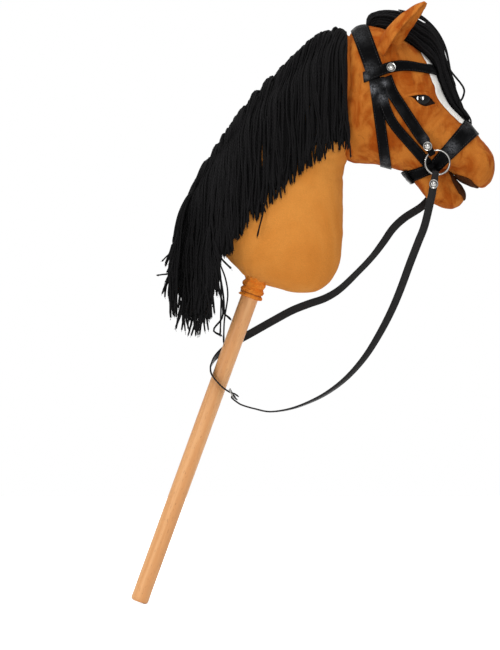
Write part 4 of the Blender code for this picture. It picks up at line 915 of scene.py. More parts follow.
# %% Neck
STUFFING_SLACK = 0.0022
FILL_CAP = 0.0026
THROAT_FOLDS = [[(106, 150), (92, 146), (74, 150)], [(105, 138), (94, 133), (80, 135)],
                [(104, 124), (96, 120), (88, 121)]]
DARKER_FROM, DARKER_FADE = np.array([96.0, 160.0]), np.array([8.0, 40.0])


def neck_relief(points):
    """Broad ripples, puckers that fade with the distance from the stick, and three folds at the throat."""
    from_entry = points - ENTRY
    up = from_entry @ STICK_DIRECTION
    spread = from_entry - up[:, None] * STICK_DIRECTION
    radius = np.linalg.norm(spread, axis=1) * 1000.0
    turn = np.arctan2(spread[:, 1], spread @ np.array([math.cos(LEAN), 0.0, -math.sin(LEAN)]))
    pucker = 0.0011 * np.cos(11.0 * turn + 2.0 * np.sin(3.0 * turn)) * bump(radius - 13.0, 13.0) * (up < 0.05)
    throat = sum(bump(off_line(points, line), 2.6) for line in THROAT_FOLDS)
    broad = 0.0008 * ripples(points, 0.075, 3) + 0.00022 * ripples(points, 0.022, 4)
    return broad + pucker - 0.0008 * throat * (np.abs(points[:, 1]) < 0.05)


neck = add_piece("neck_plush", *stuffed_shell(**NECK, slack=STUFFING_SLACK), velour_neck, slot="plush_neck",
                 stands_for=["neck"])
fill_cover(neck, voxel=0.0042, most=FILL_CAP)
press_in(neck, neck_relief)
spots = (points_of(neck) - ENTRY)[:, [0, 2]] * 1000.0
store_tone(neck.data, clamped((spots - DARKER_FROM) / DARKER_FADE).prod(axis=1))
print("neck:", len(neck.data.vertices), "points")

# %% [markdown]
# The head's cloth is the same velour, brushed every way. Its relief is what makes it a horse: a shallow socket round
# the eye, a low brow above it, a cheek that stands out, a hollow above the nose and a soft crease from the mouth.

# %% Head and lower jaw
EYE_AT = (201.0, 215.0)
CHEEK_AT = (150.0, 172.0)


def off_spot(points, spot):
    """Each point's distance in the side view from a spot, in millimetres."""
    return np.linalg.norm(points[:, [0, 2]] - side(spot)[[0, 2]], axis=1) * 1000.0


def head_relief(points):
    """A socket, a low brow, the cheek, a nose hollow, mouth creases and ripples."""
    eye = off_spot(points, EYE_AT)
    mouth = off_line(points, [(232, 137), (243, 131), (256, 126)])
    nose = off_spot(points, (262.0, 152.0))
    shape = -0.0012 * bump(eye, 14.0)
    shape += 0.0012 * bump(off_line(points, [(182, 232), (196, 236), (210, 231)]), 5.0)
    shape += 0.0016 * bump(off_spot(points, CHEEK_AT), 26.0) - 0.0009 * bump(mouth, 2.2) - 0.0008 * bump(nose, 8.0)
    ear_root = bump(off_spot(points, (158, 266)), 14.0)
    pulled = 0.0008 * np.cos(points[:, 0] * 620.0 + points[:, 2] * 240.0) * ear_root
    return shape + pulled + 0.0007 * ripples(points, 0.045, 5) + 0.00025 * ripples(points, 0.014, 6)


def jaw_relief(points):
    """Small ripples of a cover too small to lie smooth."""
    return 0.0006 * ripples(points, 0.026, 7) + 0.00025 * ripples(points, 0.010, 8)


head = add_piece("head_plush", *stuffed_shell(**HEAD, slack=STUFFING_SLACK), velour_head, slot="plush_head",
                 stands_for=["head"])
fill_cover(head, voxel=0.0036, most=FILL_CAP)
press_in(head, head_relief)
jaw = add_piece("jaw_plush", *stuffed_shell(**JAW, slack=0.0012), velour_head, slot="plush_head",
                stands_for=["lower_jaw"])
fill_cover(jaw, voxel=0.0024, most=0.0014)
press_in(jaw, jaw_relief)
print("head:", len(head.data.vertices), "points, jaw:", len(jaw.data.vertices))

# %% [markdown]
# An ear is two leaves of velour sewn together and folded into a cup, open forwards and a little outwards. Crescent
# sections are carried from the base to the tip; a ridge runs round the edge where the leaves are sewn.

# %% Ears
EAR_BASE, EAR_TIP = (149.5, 269.5), (202.0, 332.0)
EAR_SPREAD, EAR_LEAN = 0.031, 0.005
EAR_WIDTHS = [0.018, 0.026, 0.029, 0.027, 0.0225, 0.0165, 0.007]
EAR_DEPTHS = [0.0185, 0.0235, 0.0245, 0.0225, 0.0190, 0.0140, 0.0052]
EAR_CUP = 0.30
EAR_TURN = math.radians(24.0)


def make_ear(which, rows=48, around=72):
    """At each height the section is an ellipse, its front pressed back into a hollow and its edges bent forwards.

    A point at angle t lies cos(t) half widths across and sin(t) half depths ahead; the bend adds the cup times the
    square of the cosine, and the front half keeps less than its depth, least of all in the middle.
    """
    share = np.linspace(0.0, 1.0, rows)[:, None]
    base, tip = side(EAR_BASE, which * EAR_SPREAD), side(EAR_TIP, which * (EAR_SPREAD + EAR_LEAN))
    along = unit(tip - base)
    front = unit(np.cross(along, ACROSS_HORSE))
    front = front if front[0] > 0 else -front
    out = unit(np.cross(front, along))
    out = out if out[1] * which > 0 else -out
    front, out = (front * math.cos(EAR_TURN) + out * math.sin(EAR_TURN),
                  out * math.cos(EAR_TURN) - front * math.sin(EAR_TURN))
    stations = np.arange(rows) / (rows - 1) * (len(EAR_WIDTHS) - 1)
    width, depth = (between(sizes, stations)[:, None] for sizes in (EAR_WIDTHS, EAR_DEPTHS))
    turn = full_turn(around)[None, :]
    across, thick = np.cos(turn), np.sin(turn)
    hollow = 0.85 * (1 - across ** 2) * np.sin(math.pi * clamped(share * 1.05 - 0.05)) ** 0.8
    scooped = np.where(thick > 0, thick * (0.66 - hollow), thick)
    edge = 0.0007 * bump(np.abs(np.abs(across) - 1.0), 0.02)
    ahead = scooped * depth / 2 + EAR_CUP * depth * across ** 2
    wide = across * width / 2 + np.sign(across) * edge
    folds = 0.0009 * np.sin(3.0 * turn + 1.0) * (1 - share) ** 2
    middle = base + (tip - base) * share - front * 0.004 * np.sin(math.pi * share)
    points = middle[:, None, :] + front * (ahead + folds)[..., None] + out * wide[..., None]
    points = points + 0.0004 * ripples(points, 0.02, 11)[..., None] * front
    name = NAMES[which]
    ear = add_piece("ear_plush_" + name, points, tube_faces(rows, around), velour_head, slot="plush_head",
                    stands_for=["ear_" + name])
    fill_cover(ear, voxel=0.0012, ease=9)
    return ear


ears = [make_ear(which) for which in (NEAR, FAR)]
print("ears:", [ear.name for ear in ears])

# %% [markdown]
# ## The stick and the cuff
#
# The stick is a turned dowel whose foot has a rounded edge. The cuff is the neck's sleeve, pulled tight and tied: its
# cloth bunches into rings that are never quite level, with small creases across them. It is one surface of a turn
# and a height, a few waves high, with the waves shifted from side to side.

# %% Stick
STICK_RADIUS = 0.0105
STICK_LENGTH = 0.501
FOOT_ROUND = 0.004
quarter = np.radians(np.linspace(0.0, 90.0, 10))
foot = np.stack([STICK_RADIUS - FOOT_ROUND * (1 - np.sin(quarter)), FOOT_ROUND * (1 - np.cos(quarter))], axis=1)
shaft = np.stack([np.full(60, STICK_RADIUS), np.linspace(0.008, STICK_LENGTH - 0.001, 60)], axis=1)
points, faces = turned(np.concatenate([foot, shaft, [(STICK_RADIUS - 0.001, STICK_LENGTH)]]), np.zeros(3),
                       STICK_DIRECTION, sides=72)
add_piece("stick_beech", points, faces, stick_beech, slot="stick_beech", stands_for=["stick"], sharp=50.0)
print("stick:", STICK_LENGTH, "m long,", 2 * STICK_RADIUS, "m thick")


# %% Cuff and its cord
CUFF_LENGTH = 0.024
CUFF_THICKNESS = 0.0020
CUFF_FOLDS = 3
CUFF_FROM, CUFF_TO = 0.13, 1.35
CORD_STRAND = 0.0007


def make_cuff(rows=90, around=150):
    """The radius at a turn and a height: the stick's, plus the cloth, plus waves up the height whose place shifts with
    the turn, plus short creases."""
    height = np.linspace(CUFF_FROM, CUFF_TO, rows)[:, None]
    turn = full_turn(around)[None, :]
    shifted = height + 0.045 * np.sin(turn + 0.6) + 0.022 * np.sin(3 * turn + 1.9) + 0.012 * np.sin(7 * turn)
    wave = np.abs(np.sin(math.pi * CUFF_FOLDS * np.clip(shifted, 0.0, 2.0))) ** 0.75
    size = 0.85 + 0.2 * np.sin(2 * turn + 5 * height) + 0.12 * np.sin(5 * turn - 7 * height)
    creases = (0.0003 * np.sin(19 * turn + 9 * np.sin(6 * height)) + 0.0007 * np.sin(7 * turn - 8 * height)) * wave
    fade = clamped((height - CUFF_FROM) / 0.05) ** 0.5
    radius = STICK_RADIUS + 0.0003 + (0.0012 + CUFF_THICKNESS * wave * size) * fade + creases * fade
    axis = ENTRY - STICK_DIRECTION * CUFF_LENGTH + STICK_DIRECTION * (CUFF_LENGTH * height + 0 * turn)[..., None]
    circle = circle_round(STICK_DIRECTION, turn)
    outer, inner = axis + circle * radius[..., None], axis + circle * (STICK_RADIUS + 0.0002)
    points = np.concatenate([outer, inner[::-1]])
    faces = grid_faces(2 * rows + 1, around, wrap=True) % (2 * rows * around)
    return add_piece("cuff_velour", points, faces.tolist(), velour_cuff, slot="plush_cuff", stands_for=["cuff"])


def make_cuff_cord(plies=2, count=240):
    """Two strands that circle the groove of the cuff and wind round each other."""
    turn = np.linspace(0.0, 2.0 * math.pi, count)
    circle = circle_round(STICK_DIRECTION, turn)
    middle = ENTRY - STICK_DIRECTION * CUFF_LENGTH * 2 / 3
    wound = [26.0 * turn + 2.0 * math.pi * ply / plies for ply in range(plies)]
    paths = np.stack([middle + circle * (STICK_RADIUS + 0.0022 + 0.45 * CORD_STRAND * np.cos(way))[:, None]
                      + STICK_DIRECTION * (0.45 * CORD_STRAND * np.sin(way))[:, None] for way in wound])
    points, faces, uv = bundle(paths, CORD_STRAND / 1.7, sides=6, guide=STICK_DIRECTION)
    return add_piece("cuff_cord", points, faces, cuff_cord, uv=uv, tone=np.zeros(len(points)), stands_for=["cuff_tie"])


print("made:", make_cuff().name, make_cuff_cord().name)

# %% [markdown]
# ## Laying straps and panels
#
# A real bridle is cut flat and pulled tight over the plush. The code does the same: rays come in from outside along the
# strap and find the surface, hollows are bridged by raising points to the chord between their neighbours, and the
# sheet is moved out wherever it still sinks into what lies below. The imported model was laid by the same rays.


# %% Finding the surface
LAY_GAP = 0.00012
RAY_START = 0.25


def heights_over(tree, centres, outward, reach=RAY_START):
    """How far along its outward direction each centre lies under the surface; a miss takes its neighbours' height."""
    spots = cast(tree, centres + outward * reach, -outward)
    heights = np.sum((spots - centres) * outward, axis=-1)
    for column in heights.T:
        known = np.flatnonzero(~np.isnan(column))
        column[:] = np.interp(np.arange(len(column)), known, column[known])
    return heights


def pull_taut(centres, outward, heights, rounds=40):
    """Raises every point to the chord between its neighbours and never below the skin, many times over."""
    raw = heights.copy()
    for _ in range(rounds):
        points = centres + outward * heights[..., None]
        lifted = np.sum(((points[:-2] + points[2:]) / 2 - centres[1:-1]) * outward[1:-1], axis=-1)
        heights[1:-1] = np.maximum(raw[1:-1], lifted)
    return heights


def press_clear(middle, outward, tree, need, rounds=5):
    """Moves points out until each is that far above the surface; each round's push is spread to its neighbours."""
    for _ in range(rounds):
        found = [tree.find_nearest(Vector(spot)) for spot in middle.reshape(-1, 3).tolist()]
        nearest = np.array([hit[0][:] for hit in found]).reshape(middle.shape)
        facing = np.array([hit[1][:] for hit in found]).reshape(middle.shape)
        apart = np.linalg.norm(middle - nearest, axis=-1)
        sunk = np.sum((middle - nearest) * facing, axis=-1) < -0.3 * apart
        push = np.maximum(np.where(sunk, need + apart, need - apart), 0.0)
        if push.max() < 0.00002:
            break
        padded = np.pad(push, 1, mode="edge")
        spread = np.max([padded[i:i + push.shape[0], j:j + push.shape[1]] for i in range(3) for j in range(3)], axis=0)
        middle = middle + outward * spread[..., None]
    return middle


def wrap_rays(line, widths, rows, columns, under, rise=0.0):
    """Rays for a band round the head: they come in towards the line's far end, evenly spaced along the band."""
    start, end = side(line)
    outwards = unit(start - end)
    sideways = np.array([-outwards[2], 0.0, outwards[0]])

    def fan(turn):
        """Directions turned from the line's near end towards the viewer."""
        return outwards * np.cos(turn)[:, None] - ACROSS_HORSE * np.sin(turn)[:, None]

    angles = np.radians(np.arange(0.0, 140.0, 1.5))
    reach = heights_over(skin(*under), np.tile(end, (len(angles), 1, 1)), fan(angles)[:, None, :])[:, 0]
    forward = reach * np.cos(angles)
    last = int(np.argmax(forward <= 0.0)) + 1
    run = run_along((fan(angles) * reach[:, None])[:last])
    half = np.interp(np.linspace(0.0, run[-1], rows // 2 + 1), run, angles[:last])
    turn = np.concatenate([-half[:0:-1], half])
    share = np.interp(np.abs(turn), half, np.linspace(0.0, 1.0, len(half)))
    along = np.interp(np.abs(turn), angles[:last], forward[:last]) / np.linalg.norm(end - start)
    offset = evenly(widths, share)[:, None] * np.linspace(-0.5, 0.5, columns)
    offset = offset + rise * np.sin(math.pi * clamped(along))[:, None]
    centres = end + sideways * offset[..., None]
    return centres, np.broadcast_to(fan(turn)[:, None, :], centres.shape).copy()


def squares_along(line, rows):
    """Points along a side-view line, and at each the direction in the side view that is square to it."""
    path = smooth_path(side(line), rows)
    along = unit(np.gradient(path, axis=0))
    return path, np.stack([-along[:, 2], np.zeros(rows), along[:, 0]], axis=1)


def side_rays(line, width, rows, columns, which):
    """Rays for a strap on one side, along a side-view line, square to the side view."""
    path, sideways = squares_along(line, rows)
    centres = path[:, None, :] + sideways[:, None, :] * (width * np.linspace(-0.5, 0.5, columns))[None, :, None]
    return centres, np.broadcast_to(ACROSS_HORSE * which, centres.shape).copy()


def ridge_rays(line, widths, rows, columns, flip=False, depth=0.02):
    """Rays for a panel that straddles the middle of the horse along a side-view line, square to that line."""
    path, outwards = squares_along(line, rows)
    outwards = outwards * (-1.0 if flip else 1.0)
    width = evenly(widths, np.linspace(0.0, 1.0, rows))
    offset = ACROSS_HORSE * (width[:, None] * np.linspace(-0.5, 0.5, columns))[..., None]
    centres = path[:, None, :] - outwards[:, None, :] * depth + offset
    return centres, np.broadcast_to(outwards[:, None, :], centres.shape).copy()


print("ray helpers ready")

# %% [markdown]
# The straps of this toy are folded imitation leather with a line pressed along each edge. So a strap is a grid of
# points whose columns are not even: close together at the edges, where the section rolls over and has its pressed
# line, and far apart in the flat middle. The same grid with a hole in its middle columns gives the slots at the buckle.

# %% Building a strap
EDGE_COLUMNS = [-1, -0.965, -0.90, -0.83, -0.76, -0.68, -0.24]
ACROSS_STRAP = np.array(EDGE_COLUMNS + [0.0] + [-column for column in EDGE_COLUMNS[::-1]])
EDGE_TOP = [0.04, 0.36, 0.50, 0.50, 0.30, 0.49, 0.57]
TOP_HEIGHTS = np.array(EDGE_TOP + [0.60] + EDGE_TOP[::-1])
EDGE_UNDER = [0.04, 0.36, 0.50, 0.50, 0.50, 0.50, 0.50]
UNDER_HEIGHTS = np.array(EDGE_UNDER + [0.50] + EDGE_UNDER[::-1])
PRESSED_COLUMNS = (4, -5)
SLOT_COLUMNS = (6, 8)
REFINING = 12


def refined(grid, step, spread=ACROSS_STRAP):
    """The grid at even steps along its middle, with these columns across; -1 and 1 are its edges."""
    columns = grid.shape[1]
    every = np.linspace(0, len(grid) - 1, REFINING * (len(grid) - 1) + 1)
    run = run_along(between(grid, every)[:, columns // 2])
    places = np.interp(np.linspace(0.0, run[-1], max(4, round(run[-1] / step))), run, every)
    return between(between(grid, places), (spread + 1) / 2 * (columns - 1), axis=1), places


def sheet_normals(middle, outward):
    """The unit normals of a grid of points, all on the side that is outward at its first row."""
    normals = unit(np.cross(np.gradient(middle, axis=0), np.gradient(middle, axis=1)))
    return normals * np.sign(np.sum(normals[0] * outward[0]))


def closed_sheet(middle, normals, top, under, slot=None):
    """Points and faces of a sheet with two sides: the middle plus and minus its heights, a rim, and a slot's walls."""
    rows, columns = middle.shape[:2]
    total = rows * columns
    points = np.concatenate([(middle + normals * top[..., None]).reshape(-1, 3),
                             (middle - normals * under[..., None]).reshape(-1, 3)])
    quads = grid_faces(rows, columns)
    index = np.arange(total).reshape(rows, columns)
    loops = [np.concatenate([index[0], index[1:, -1], index[-1, -2::-1], index[-2:0:-1, 0]])]
    if slot:
        first, last = slot
        left, right = SLOT_COLUMNS
        kept = np.ones((rows - 1, columns - 1), bool)
        kept[first:last, left:right] = False
        quads = quads[kept.ravel()]
        loops.append(np.concatenate([index[first:last, left], index[last, left:right], index[last:first:-1, right],
                                     index[first, right:left:-1]]))
    walls = [np.stack([loop, loop + total, np.roll(loop, -1) + total, np.roll(loop, -1)], axis=1) for loop in loops]
    return points, np.concatenate([quads, quads[:, ::-1] + total] + walls).tolist()


# Places (x, z, radius, strength) where the straps get painted highlights: grey streaks of painted sheen.
PAINTED_SHEEN_SPOTS = np.array([(123, 291, 9, 0.16), (135, 253, 7, 0.30), (131, 243, 4, 0.5), (139, 228, 6, 0.9), (153, 235, 4, 0.8),
                 (151, 217, 6, 0.6), (233, 158, 7, 0.6), (251, 184, 4, 0.25), (202, 169, 4, 0.3), (154, 142, 6, 0.35)])


def painted_sheen_at(points):
    """The painted sheen at each point: the largest of the listed places, each fading with distance."""
    away = np.linalg.norm((points[:, None, [0, 2]] - side(PAINTED_SHEEN_SPOTS[:, :2])[None][..., [0, 2]]) * 1000.0, axis=-1)
    return (PAINTED_SHEEN_SPOTS[:, 3] * bump(away, PAINTED_SHEEN_SPOTS[:, 2])).max(axis=1)


def strap_piece(name, middle, normals, material, thickness=STRAP_THICKNESS, slot_rows=None, **ties):
    """A strap with rolled edges, pressed lines and slightly rolled ends."""
    rows = np.arange(len(middle))
    ends = np.interp(np.minimum(rows, rows[::-1]), [0, 1, 2], [0.15, 0.8, 1.0])[:, None] * thickness
    shape = closed_sheet(middle, normals, TOP_HEIGHTS * ends, UNDER_HEIGHTS * ends, slot_rows)
    return add_piece(name, *shape, material, tone=painted_sheen_at(shape[0]), **ties)


def lay(rays, under, thickness, step=0.0012, taut=40, spread=ACROSS_STRAP):
    """The middle of a sheet laid along its rays on these pieces, and its normals."""
    centres, outward = rays
    tree = skin(*under)
    heights = pull_taut(centres, outward, heights_over(tree, centres, outward), taut)
    middle, places = refined(centres + outward * (heights + LAY_GAP + thickness / 2)[..., None], step, spread)
    ways = between(between(outward, places), (spread + 1) / 2 * (outward.shape[1] - 1), axis=1)
    middle = press_clear(middle, unit(ways), tree, LAY_GAP + thickness / 2)
    return middle, sheet_normals(middle, ways)


print("strap helpers ready, columns:", len(ACROSS_STRAP))

# %% [markdown]
# Panels are laid the same way, with even columns: the pale blaze down the face, the dark cloth that lines the palate
# and the jaw, and the tape on the crest that the mane is sewn to.

# %% Blaze, mouth linings and mane tape
BLAZE_LINE = [(197, 273), (212, 247), (219, 228), (228, 211), (245, 192), (256, 182)]
PALATE_LINE = [(234, 120), (263, 106)]
JAW_LINING_LINE = [(233, 131), (242, 117), (248, 104), (249, 96)]
TAPE_LINE = [(103, 292), (79, 283), (55, 265), (33, 244), (8, 220), (-15, 195), (-33, 168), (-48, 140), (-62, 118)]
EVEN_COLUMNS = np.sin(np.linspace(-0.5, 0.5, 27) * math.pi)


def panel(name, rays, under, thickness, material, **ties):
    """A panel of cloth: flat in the middle, and rounded down at its border by the root of the way to it."""
    middle, normals = lay(rays, under, thickness, step=0.0014, taut=0, spread=EVEN_COLUMNS)
    rows = np.linspace(-1.0, 1.0, len(middle))[:, None]
    heights = thickness * np.sqrt(np.clip((1.0 - rows ** 2) * (1.0 - EVEN_COLUMNS[None, :] ** 2) * 12.0, 0.002, 1.0))
    return add_piece(name, *closed_sheet(middle, normals, heights * 0.7, heights * 0.5), material, **ties)


blaze = panel("blaze_patch", ridge_rays(BLAZE_LINE, [0.014, 0.046, 0.052, 0.044, 0.034], 14, 7), [head], 0.0012,
              blaze_pile, slot="blaze_plush", stands_for=["blaze"])
palate = panel("palate_cloth", ridge_rays(PALATE_LINE, [0.026, 0.040, 0.040, 0.018], 8, 5, flip=True), [head], 0.0012,
               mouth_felt, slot="mouth_felt", stands_for=["palate_lining"])
jaw_cloth = panel("jaw_cloth", ridge_rays(JAW_LINING_LINE, [0.020, 0.028, 0.030, 0.028, 0.014], 10, 5), [jaw], 0.0012,
                  mouth_felt, slot="mouth_felt", stands_for=["jaw_lining"])
tape = panel("crest_tape", ridge_rays(TAPE_LINE, [0.012], 24, 3, flip=True), [neck, head], 0.0010, mouth_felt,
             slot="mouth_felt", stands_for=["mane_tape"])
print("panels:", [piece.name for piece in (blaze, palate, jaw_cloth, tape)])

# %% [markdown]
# Now the bridle, from the lowest strap to the highest: throat lash, crownpiece, noseband, chin strap and its lapped
# end, then the two headstraps of the noseband.

# %% Straps round the head
THROAT_LINE = [(155, 136), (140, 247)]
CROWN_LINE = [(123, 303), (141, 252)]
NOSE_LINE = [(256, 182), (211, 134)]
CHIN_LINE = [(177, 122), (213, 135)]
HEADSTRAP_LINE = [(147, 242), (150, 224), (156, 202), (166, 184), (184, 163), (205, 139)]
stitch_lines = []


def press_lines(middle, normals, thickness):
    """Remembers a strap's two pressed lines for the thread."""
    stitch_lines.extend([(middle[:, column], normals[:, column], thickness) for column in PRESSED_COLUMNS])


def lay_strap(name, rays, under, node, thickness=STRAP_THICKNESS):
    """Lays one bridle strap and remembers its pressed lines."""
    middle, normals = lay(rays, under, thickness)
    press_lines(middle, normals, thickness)
    return strap_piece(name, middle, normals, bridle_leather, thickness, slot="bridle_leather", stands_for=[node])


throat = lay_strap("throat_strap", wrap_rays(THROAT_LINE, [0.013], 28, 3, [head]), [head, neck], "throat_lash")
crown = lay_strap("crown_strap", wrap_rays(CROWN_LINE, [0.022], 20, 4, [head]), [head, neck, throat], "crownpiece")
nose = lay_strap("nose_strap", wrap_rays(NOSE_LINE, [0.025, 0.015], 20, 4, [head]), [head, blaze], "noseband")
chin = lay_strap("chin_band", wrap_rays(CHIN_LINE, [0.015, 0.012], 18, 3, [head, jaw]), [head, jaw, nose], "chin_strap")
lap_rays = [part[6:-6] for part in wrap_rays(CHIN_LINE, [0.017], 18, 3, [head, jaw])]
lay_strap("chin_band_lap", lap_rays, [chin, head, jaw], "chin_lap", thickness=0.0028)
straps = [throat, crown, nose, chin, blaze]
for which in (NEAR, FAR):
    rays = side_rays(HEADSTRAP_LINE, 0.012, 14, 3, which)
    straps.append(lay_strap("headstrap_" + NAMES[which], rays, [head, throat, nose, chin, crown],
                            "noseband_headstrap_" + NAMES[which]))
print("straps round the head:", len(straps) - 1, "with", len(stitch_lines), "pressed lines")

# %% [markdown]
# ## The rings and what folds round them
#
# A cheekpiece comes down the face, goes through its ring, back under itself and is riveted. The rein's end does the
# same from below. The fold's line is a straight arm, a half circle round the wire, and a straight arm below the first.

# %% Folds
CHEEK_LINE = [(155, 243), (162, 225), (170, 212), (203, 162)]
CHEEK_WIDTH = 0.014
CHEEK_ARM = 0.016
INNER_ARM = 0.015
CHEEK_STUD_BACK = 0.0080
CHEEK_LIFT = 0.060


def fold_points(wire_at, away, outward, clear, sag, arm_far, arm_near, thickness):
    """Stations of a fold, from the end of its outer arm round the wire to the end of its inner arm."""
    eye = clear + thickness / 2
    under = eye - thickness - 2 * FIT
    arc = np.radians(np.linspace(90.0, -90.0, 9))
    outer = [wire_at - away * arm_far * share + outward * eye for share in (1.0, 0.8, 0.6, 0.4, 0.2)]
    bend = [wire_at + away * (sag + math.cos(t) * eye) + outward * math.sin(t) * eye for t in arc]
    inner = [wire_at - away * arm_near * share + outward * height
             for share, height in ((0.17, -0.80 * eye), (0.45, under), (1.0, under))]
    return np.array(outer + bend + inner)


def fold_grid(points, across, widths):
    """A strap three columns wide along the stations of a fold; widths are for its two ends and the wire."""
    outer, at_wire, inner = widths
    wide = np.concatenate([np.linspace(outer, at_wire, 5), np.full(9, at_wire), [at_wire, inner, inner]])
    return points[:, None, :] + across * (wide[:, None] * np.array([-0.5, 0.0, 0.5]))[..., None]


def make_cheekpiece(which, under):
    """The laid strap down the face, lifted softly to the height of the ring, and the fold at its end."""
    outward = ACROSS_HORSE * which
    wire_at = wire_place(which, CHEEK_AWAY)
    across = np.cross(CHEEK_AWAY, outward)
    centres, rays = side_rays(CHEEK_LINE, CHEEK_WIDTH, 12, 3, which)
    across = across * np.sign(np.dot(centres[-1, 2] - centres[-1, 0], across))
    tree = skin(*under)
    heights = pull_taut(centres, rays, heights_over(tree, centres, rays))
    laid = centres + rays * (heights + LAY_GAP + STRAP_THICKNESS / 2)[..., None]
    points = fold_points(wire_at, CHEEK_AWAY, outward, FOLD_CLEAR, WIRE_SAG, CHEEK_ARM, INNER_ARM, STRAP_THICKNESS)
    tail = fold_grid(points, across, (CHEEK_WIDTH, FOLD_WIDTH, CHEEK_WIDTH * 0.75))
    back = (laid[:, 1] - wire_at) @ CHEEK_AWAY
    laid, rays, back = (values[back < -1.3 * CHEEK_ARM] for values in (laid, rays, back))
    lead = np.maximum((tail[0] - laid[-1]) @ outward, 0.0)
    laid = laid + rays * (lead[None, :] * clamped((back + CHEEK_LIFT) / CHEEK_LIFT)[:, None] ** 2)[..., None]
    middle, places = refined(np.concatenate([laid, tail]), 0.0009)
    flat = int(np.searchsorted(places, len(laid)))
    middle[:flat] = press_clear(middle[:flat], np.broadcast_to(outward, middle[:flat].shape), tree,
                                LAY_GAP + STRAP_THICKNESS / 2)
    normals = sheet_normals(middle, np.broadcast_to(outward, middle.shape))
    press_lines(middle[:flat], normals[:flat], STRAP_THICKNESS)
    return strap_piece("cheek_strap_" + NAMES[which], middle, normals, bridle_leather, slot="bridle_leather",
                       stands_for=["cheekpiece_" + NAMES[which]])


def make_rein_end(which):
    """The fold at the rein's end; its outer arm stops under the rivet's cap, where the rein itself begins."""
    outward = ACROSS_HORSE * which
    points = fold_points(wire_place(which, REIN_AWAY), REIN_AWAY, outward, FOLD_CLEAR, WIRE_SAG, REIN_STUD_BACK,
                         INNER_ARM, REIN_THICKNESS)
    grid = fold_grid(points, np.cross(REIN_AWAY, outward), (REIN_WIDTH, FOLD_WIDTH, REIN_WIDTH * 0.9))
    middle, _ = refined(grid, 0.0008)
    normals = sheet_normals(middle, np.broadcast_to(outward, middle.shape))
    return strap_piece("rein_fold_" + NAMES[which], middle, normals, rein_leather, REIN_THICKNESS,
                       body="ring_" + NAMES[which], slot="bridle_leather", stands_for=["rein_end_" + NAMES[which]])


def make_ring(which):
    """A round wire carried round a circle."""
    turn = full_turn(20)
    profile = np.stack([RING_RADIUS + RING_WIRE / 2 * np.cos(turn), RING_WIRE / 2 * np.sin(turn)], axis=1)
    points, faces = turned(profile, ring_centre(which), ACROSS_HORSE, sides=140, ring=True)
    return add_piece("bridle_ring_" + NAMES[which], points, faces, bright_nickel, body="ring_" + NAMES[which],
                     slot="bright_metal", stands_for=["ring_" + NAMES[which]])


for which in (NEAR, FAR):
    straps.append(make_cheekpiece(which, [head] + straps))
rein_ends = [make_rein_end(which) for which in (NEAR, FAR)]
rings = [make_ring(which) for which in (NEAR, FAR)]
print("rings and folds:", [piece.name for piece in rings + rein_ends])

# %% [markdown]
# The browband lies over everything and rises in the middle of the forehead. Its ends are riveted to the crownpiece.
# A rivet is turned: a clenched shank behind, a flat brim and a dome.

# %% Browband and rivets
BROW_LINE = [(215, 250), (129, 242)]
BROW_STUD_AT = (161, 254)
STUD_RADIUS = 0.0055
STUD_HEIGHT = 0.003
STUD_SHANK = 0.0015

browband = lay_strap("brow_strap", wrap_rays(BROW_LINE, [0.013], 34, 3, [head], rise=0.010), [head] + straps,
                     "browband")


def make_stud(name, spot, normal, grip, body="horse"):
    """A rivet whose dome is a part of a circle over a narrow brim."""
    rise = np.radians(np.linspace(0.0, 86.0, 12))
    dome = np.stack([0.0046 * np.cos(rise), FIT + STUD_HEIGHT * (0.22 + 0.78 * np.sin(rise))], axis=1)
    profile = np.concatenate([[(STUD_SHANK, -grip), (STUD_SHANK, FIT / 2), (STUD_RADIUS - 0.0003, FIT / 2),
                               (STUD_RADIUS, FIT), (STUD_RADIUS, 0.0007), (STUD_RADIUS - 0.0003, 0.0010),
                               (0.0048, 0.0010)], dome])
    points, faces = turned(profile, spot, normal, sides=56)
    return add_piece(name, points, faces, bright_nickel, body=body, slot="bright_metal", stands_for=[name[:-4]],
                     sharp=40.0)


def fold_stud(name, which, away, back, thickness, body):
    """A rivet through a fold at the ring, so far back from the wire."""
    outward = ACROSS_HORSE * which
    spot = ring_centre(which) - away * (RING_RADIUS + back) + outward * (FOLD_CLEAR + thickness * 1.08)
    return make_stud(name, spot, outward, 2 * thickness + 3 * FIT, body)


def brow_stud(which):
    """The rivet on the browband, level with the highest leather under its brim."""
    tree = skin(browband)
    outward = ACROSS_HORSE * which
    spot, normal = tree.ray_cast(Vector(side(BROW_STUD_AT, which * RAY_START)), Vector(-outward))[:2]
    normal = np.array(normal) * np.sign(np.dot(normal, outward))
    circle = circle_round(normal, np.radians(np.arange(0, 360, 30)), (0.3, 0.1, 0.9)) * STUD_RADIUS
    found = cast(tree, np.array(spot) + circle + normal * 0.01, np.broadcast_to(-normal, circle.shape))
    level = max(0.0, float(np.nanmax((found - np.array(spot)) @ normal)))
    name = "brow_stud_" + NAMES[which]
    return make_stud(name + "_cap", np.array(spot) + normal * level, normal, STRAP_THICKNESS + level)


for which in (NEAR, FAR):
    brow_stud(which)
    side_name = NAMES[which] + "_cap"
    fold_stud("cheek_stud_" + side_name, which, CHEEK_AWAY, CHEEK_STUD_BACK, STRAP_THICKNESS, "horse")
    fold_stud("rein_stud_" + side_name, which, REIN_AWAY, REIN_STUD_BACK, REIN_THICKNESS, "ring_" + NAMES[which])
print("six rivets, each", 2 * STUD_RADIUS, "m across")

# %% [markdown]
# Thread runs in the pressed lines. Each stitch is a short tube that dips at both ends; all of them are one mesh.

# %% Stitches
STITCH_PITCH = 0.0034
STITCH_LENGTH = 0.0024


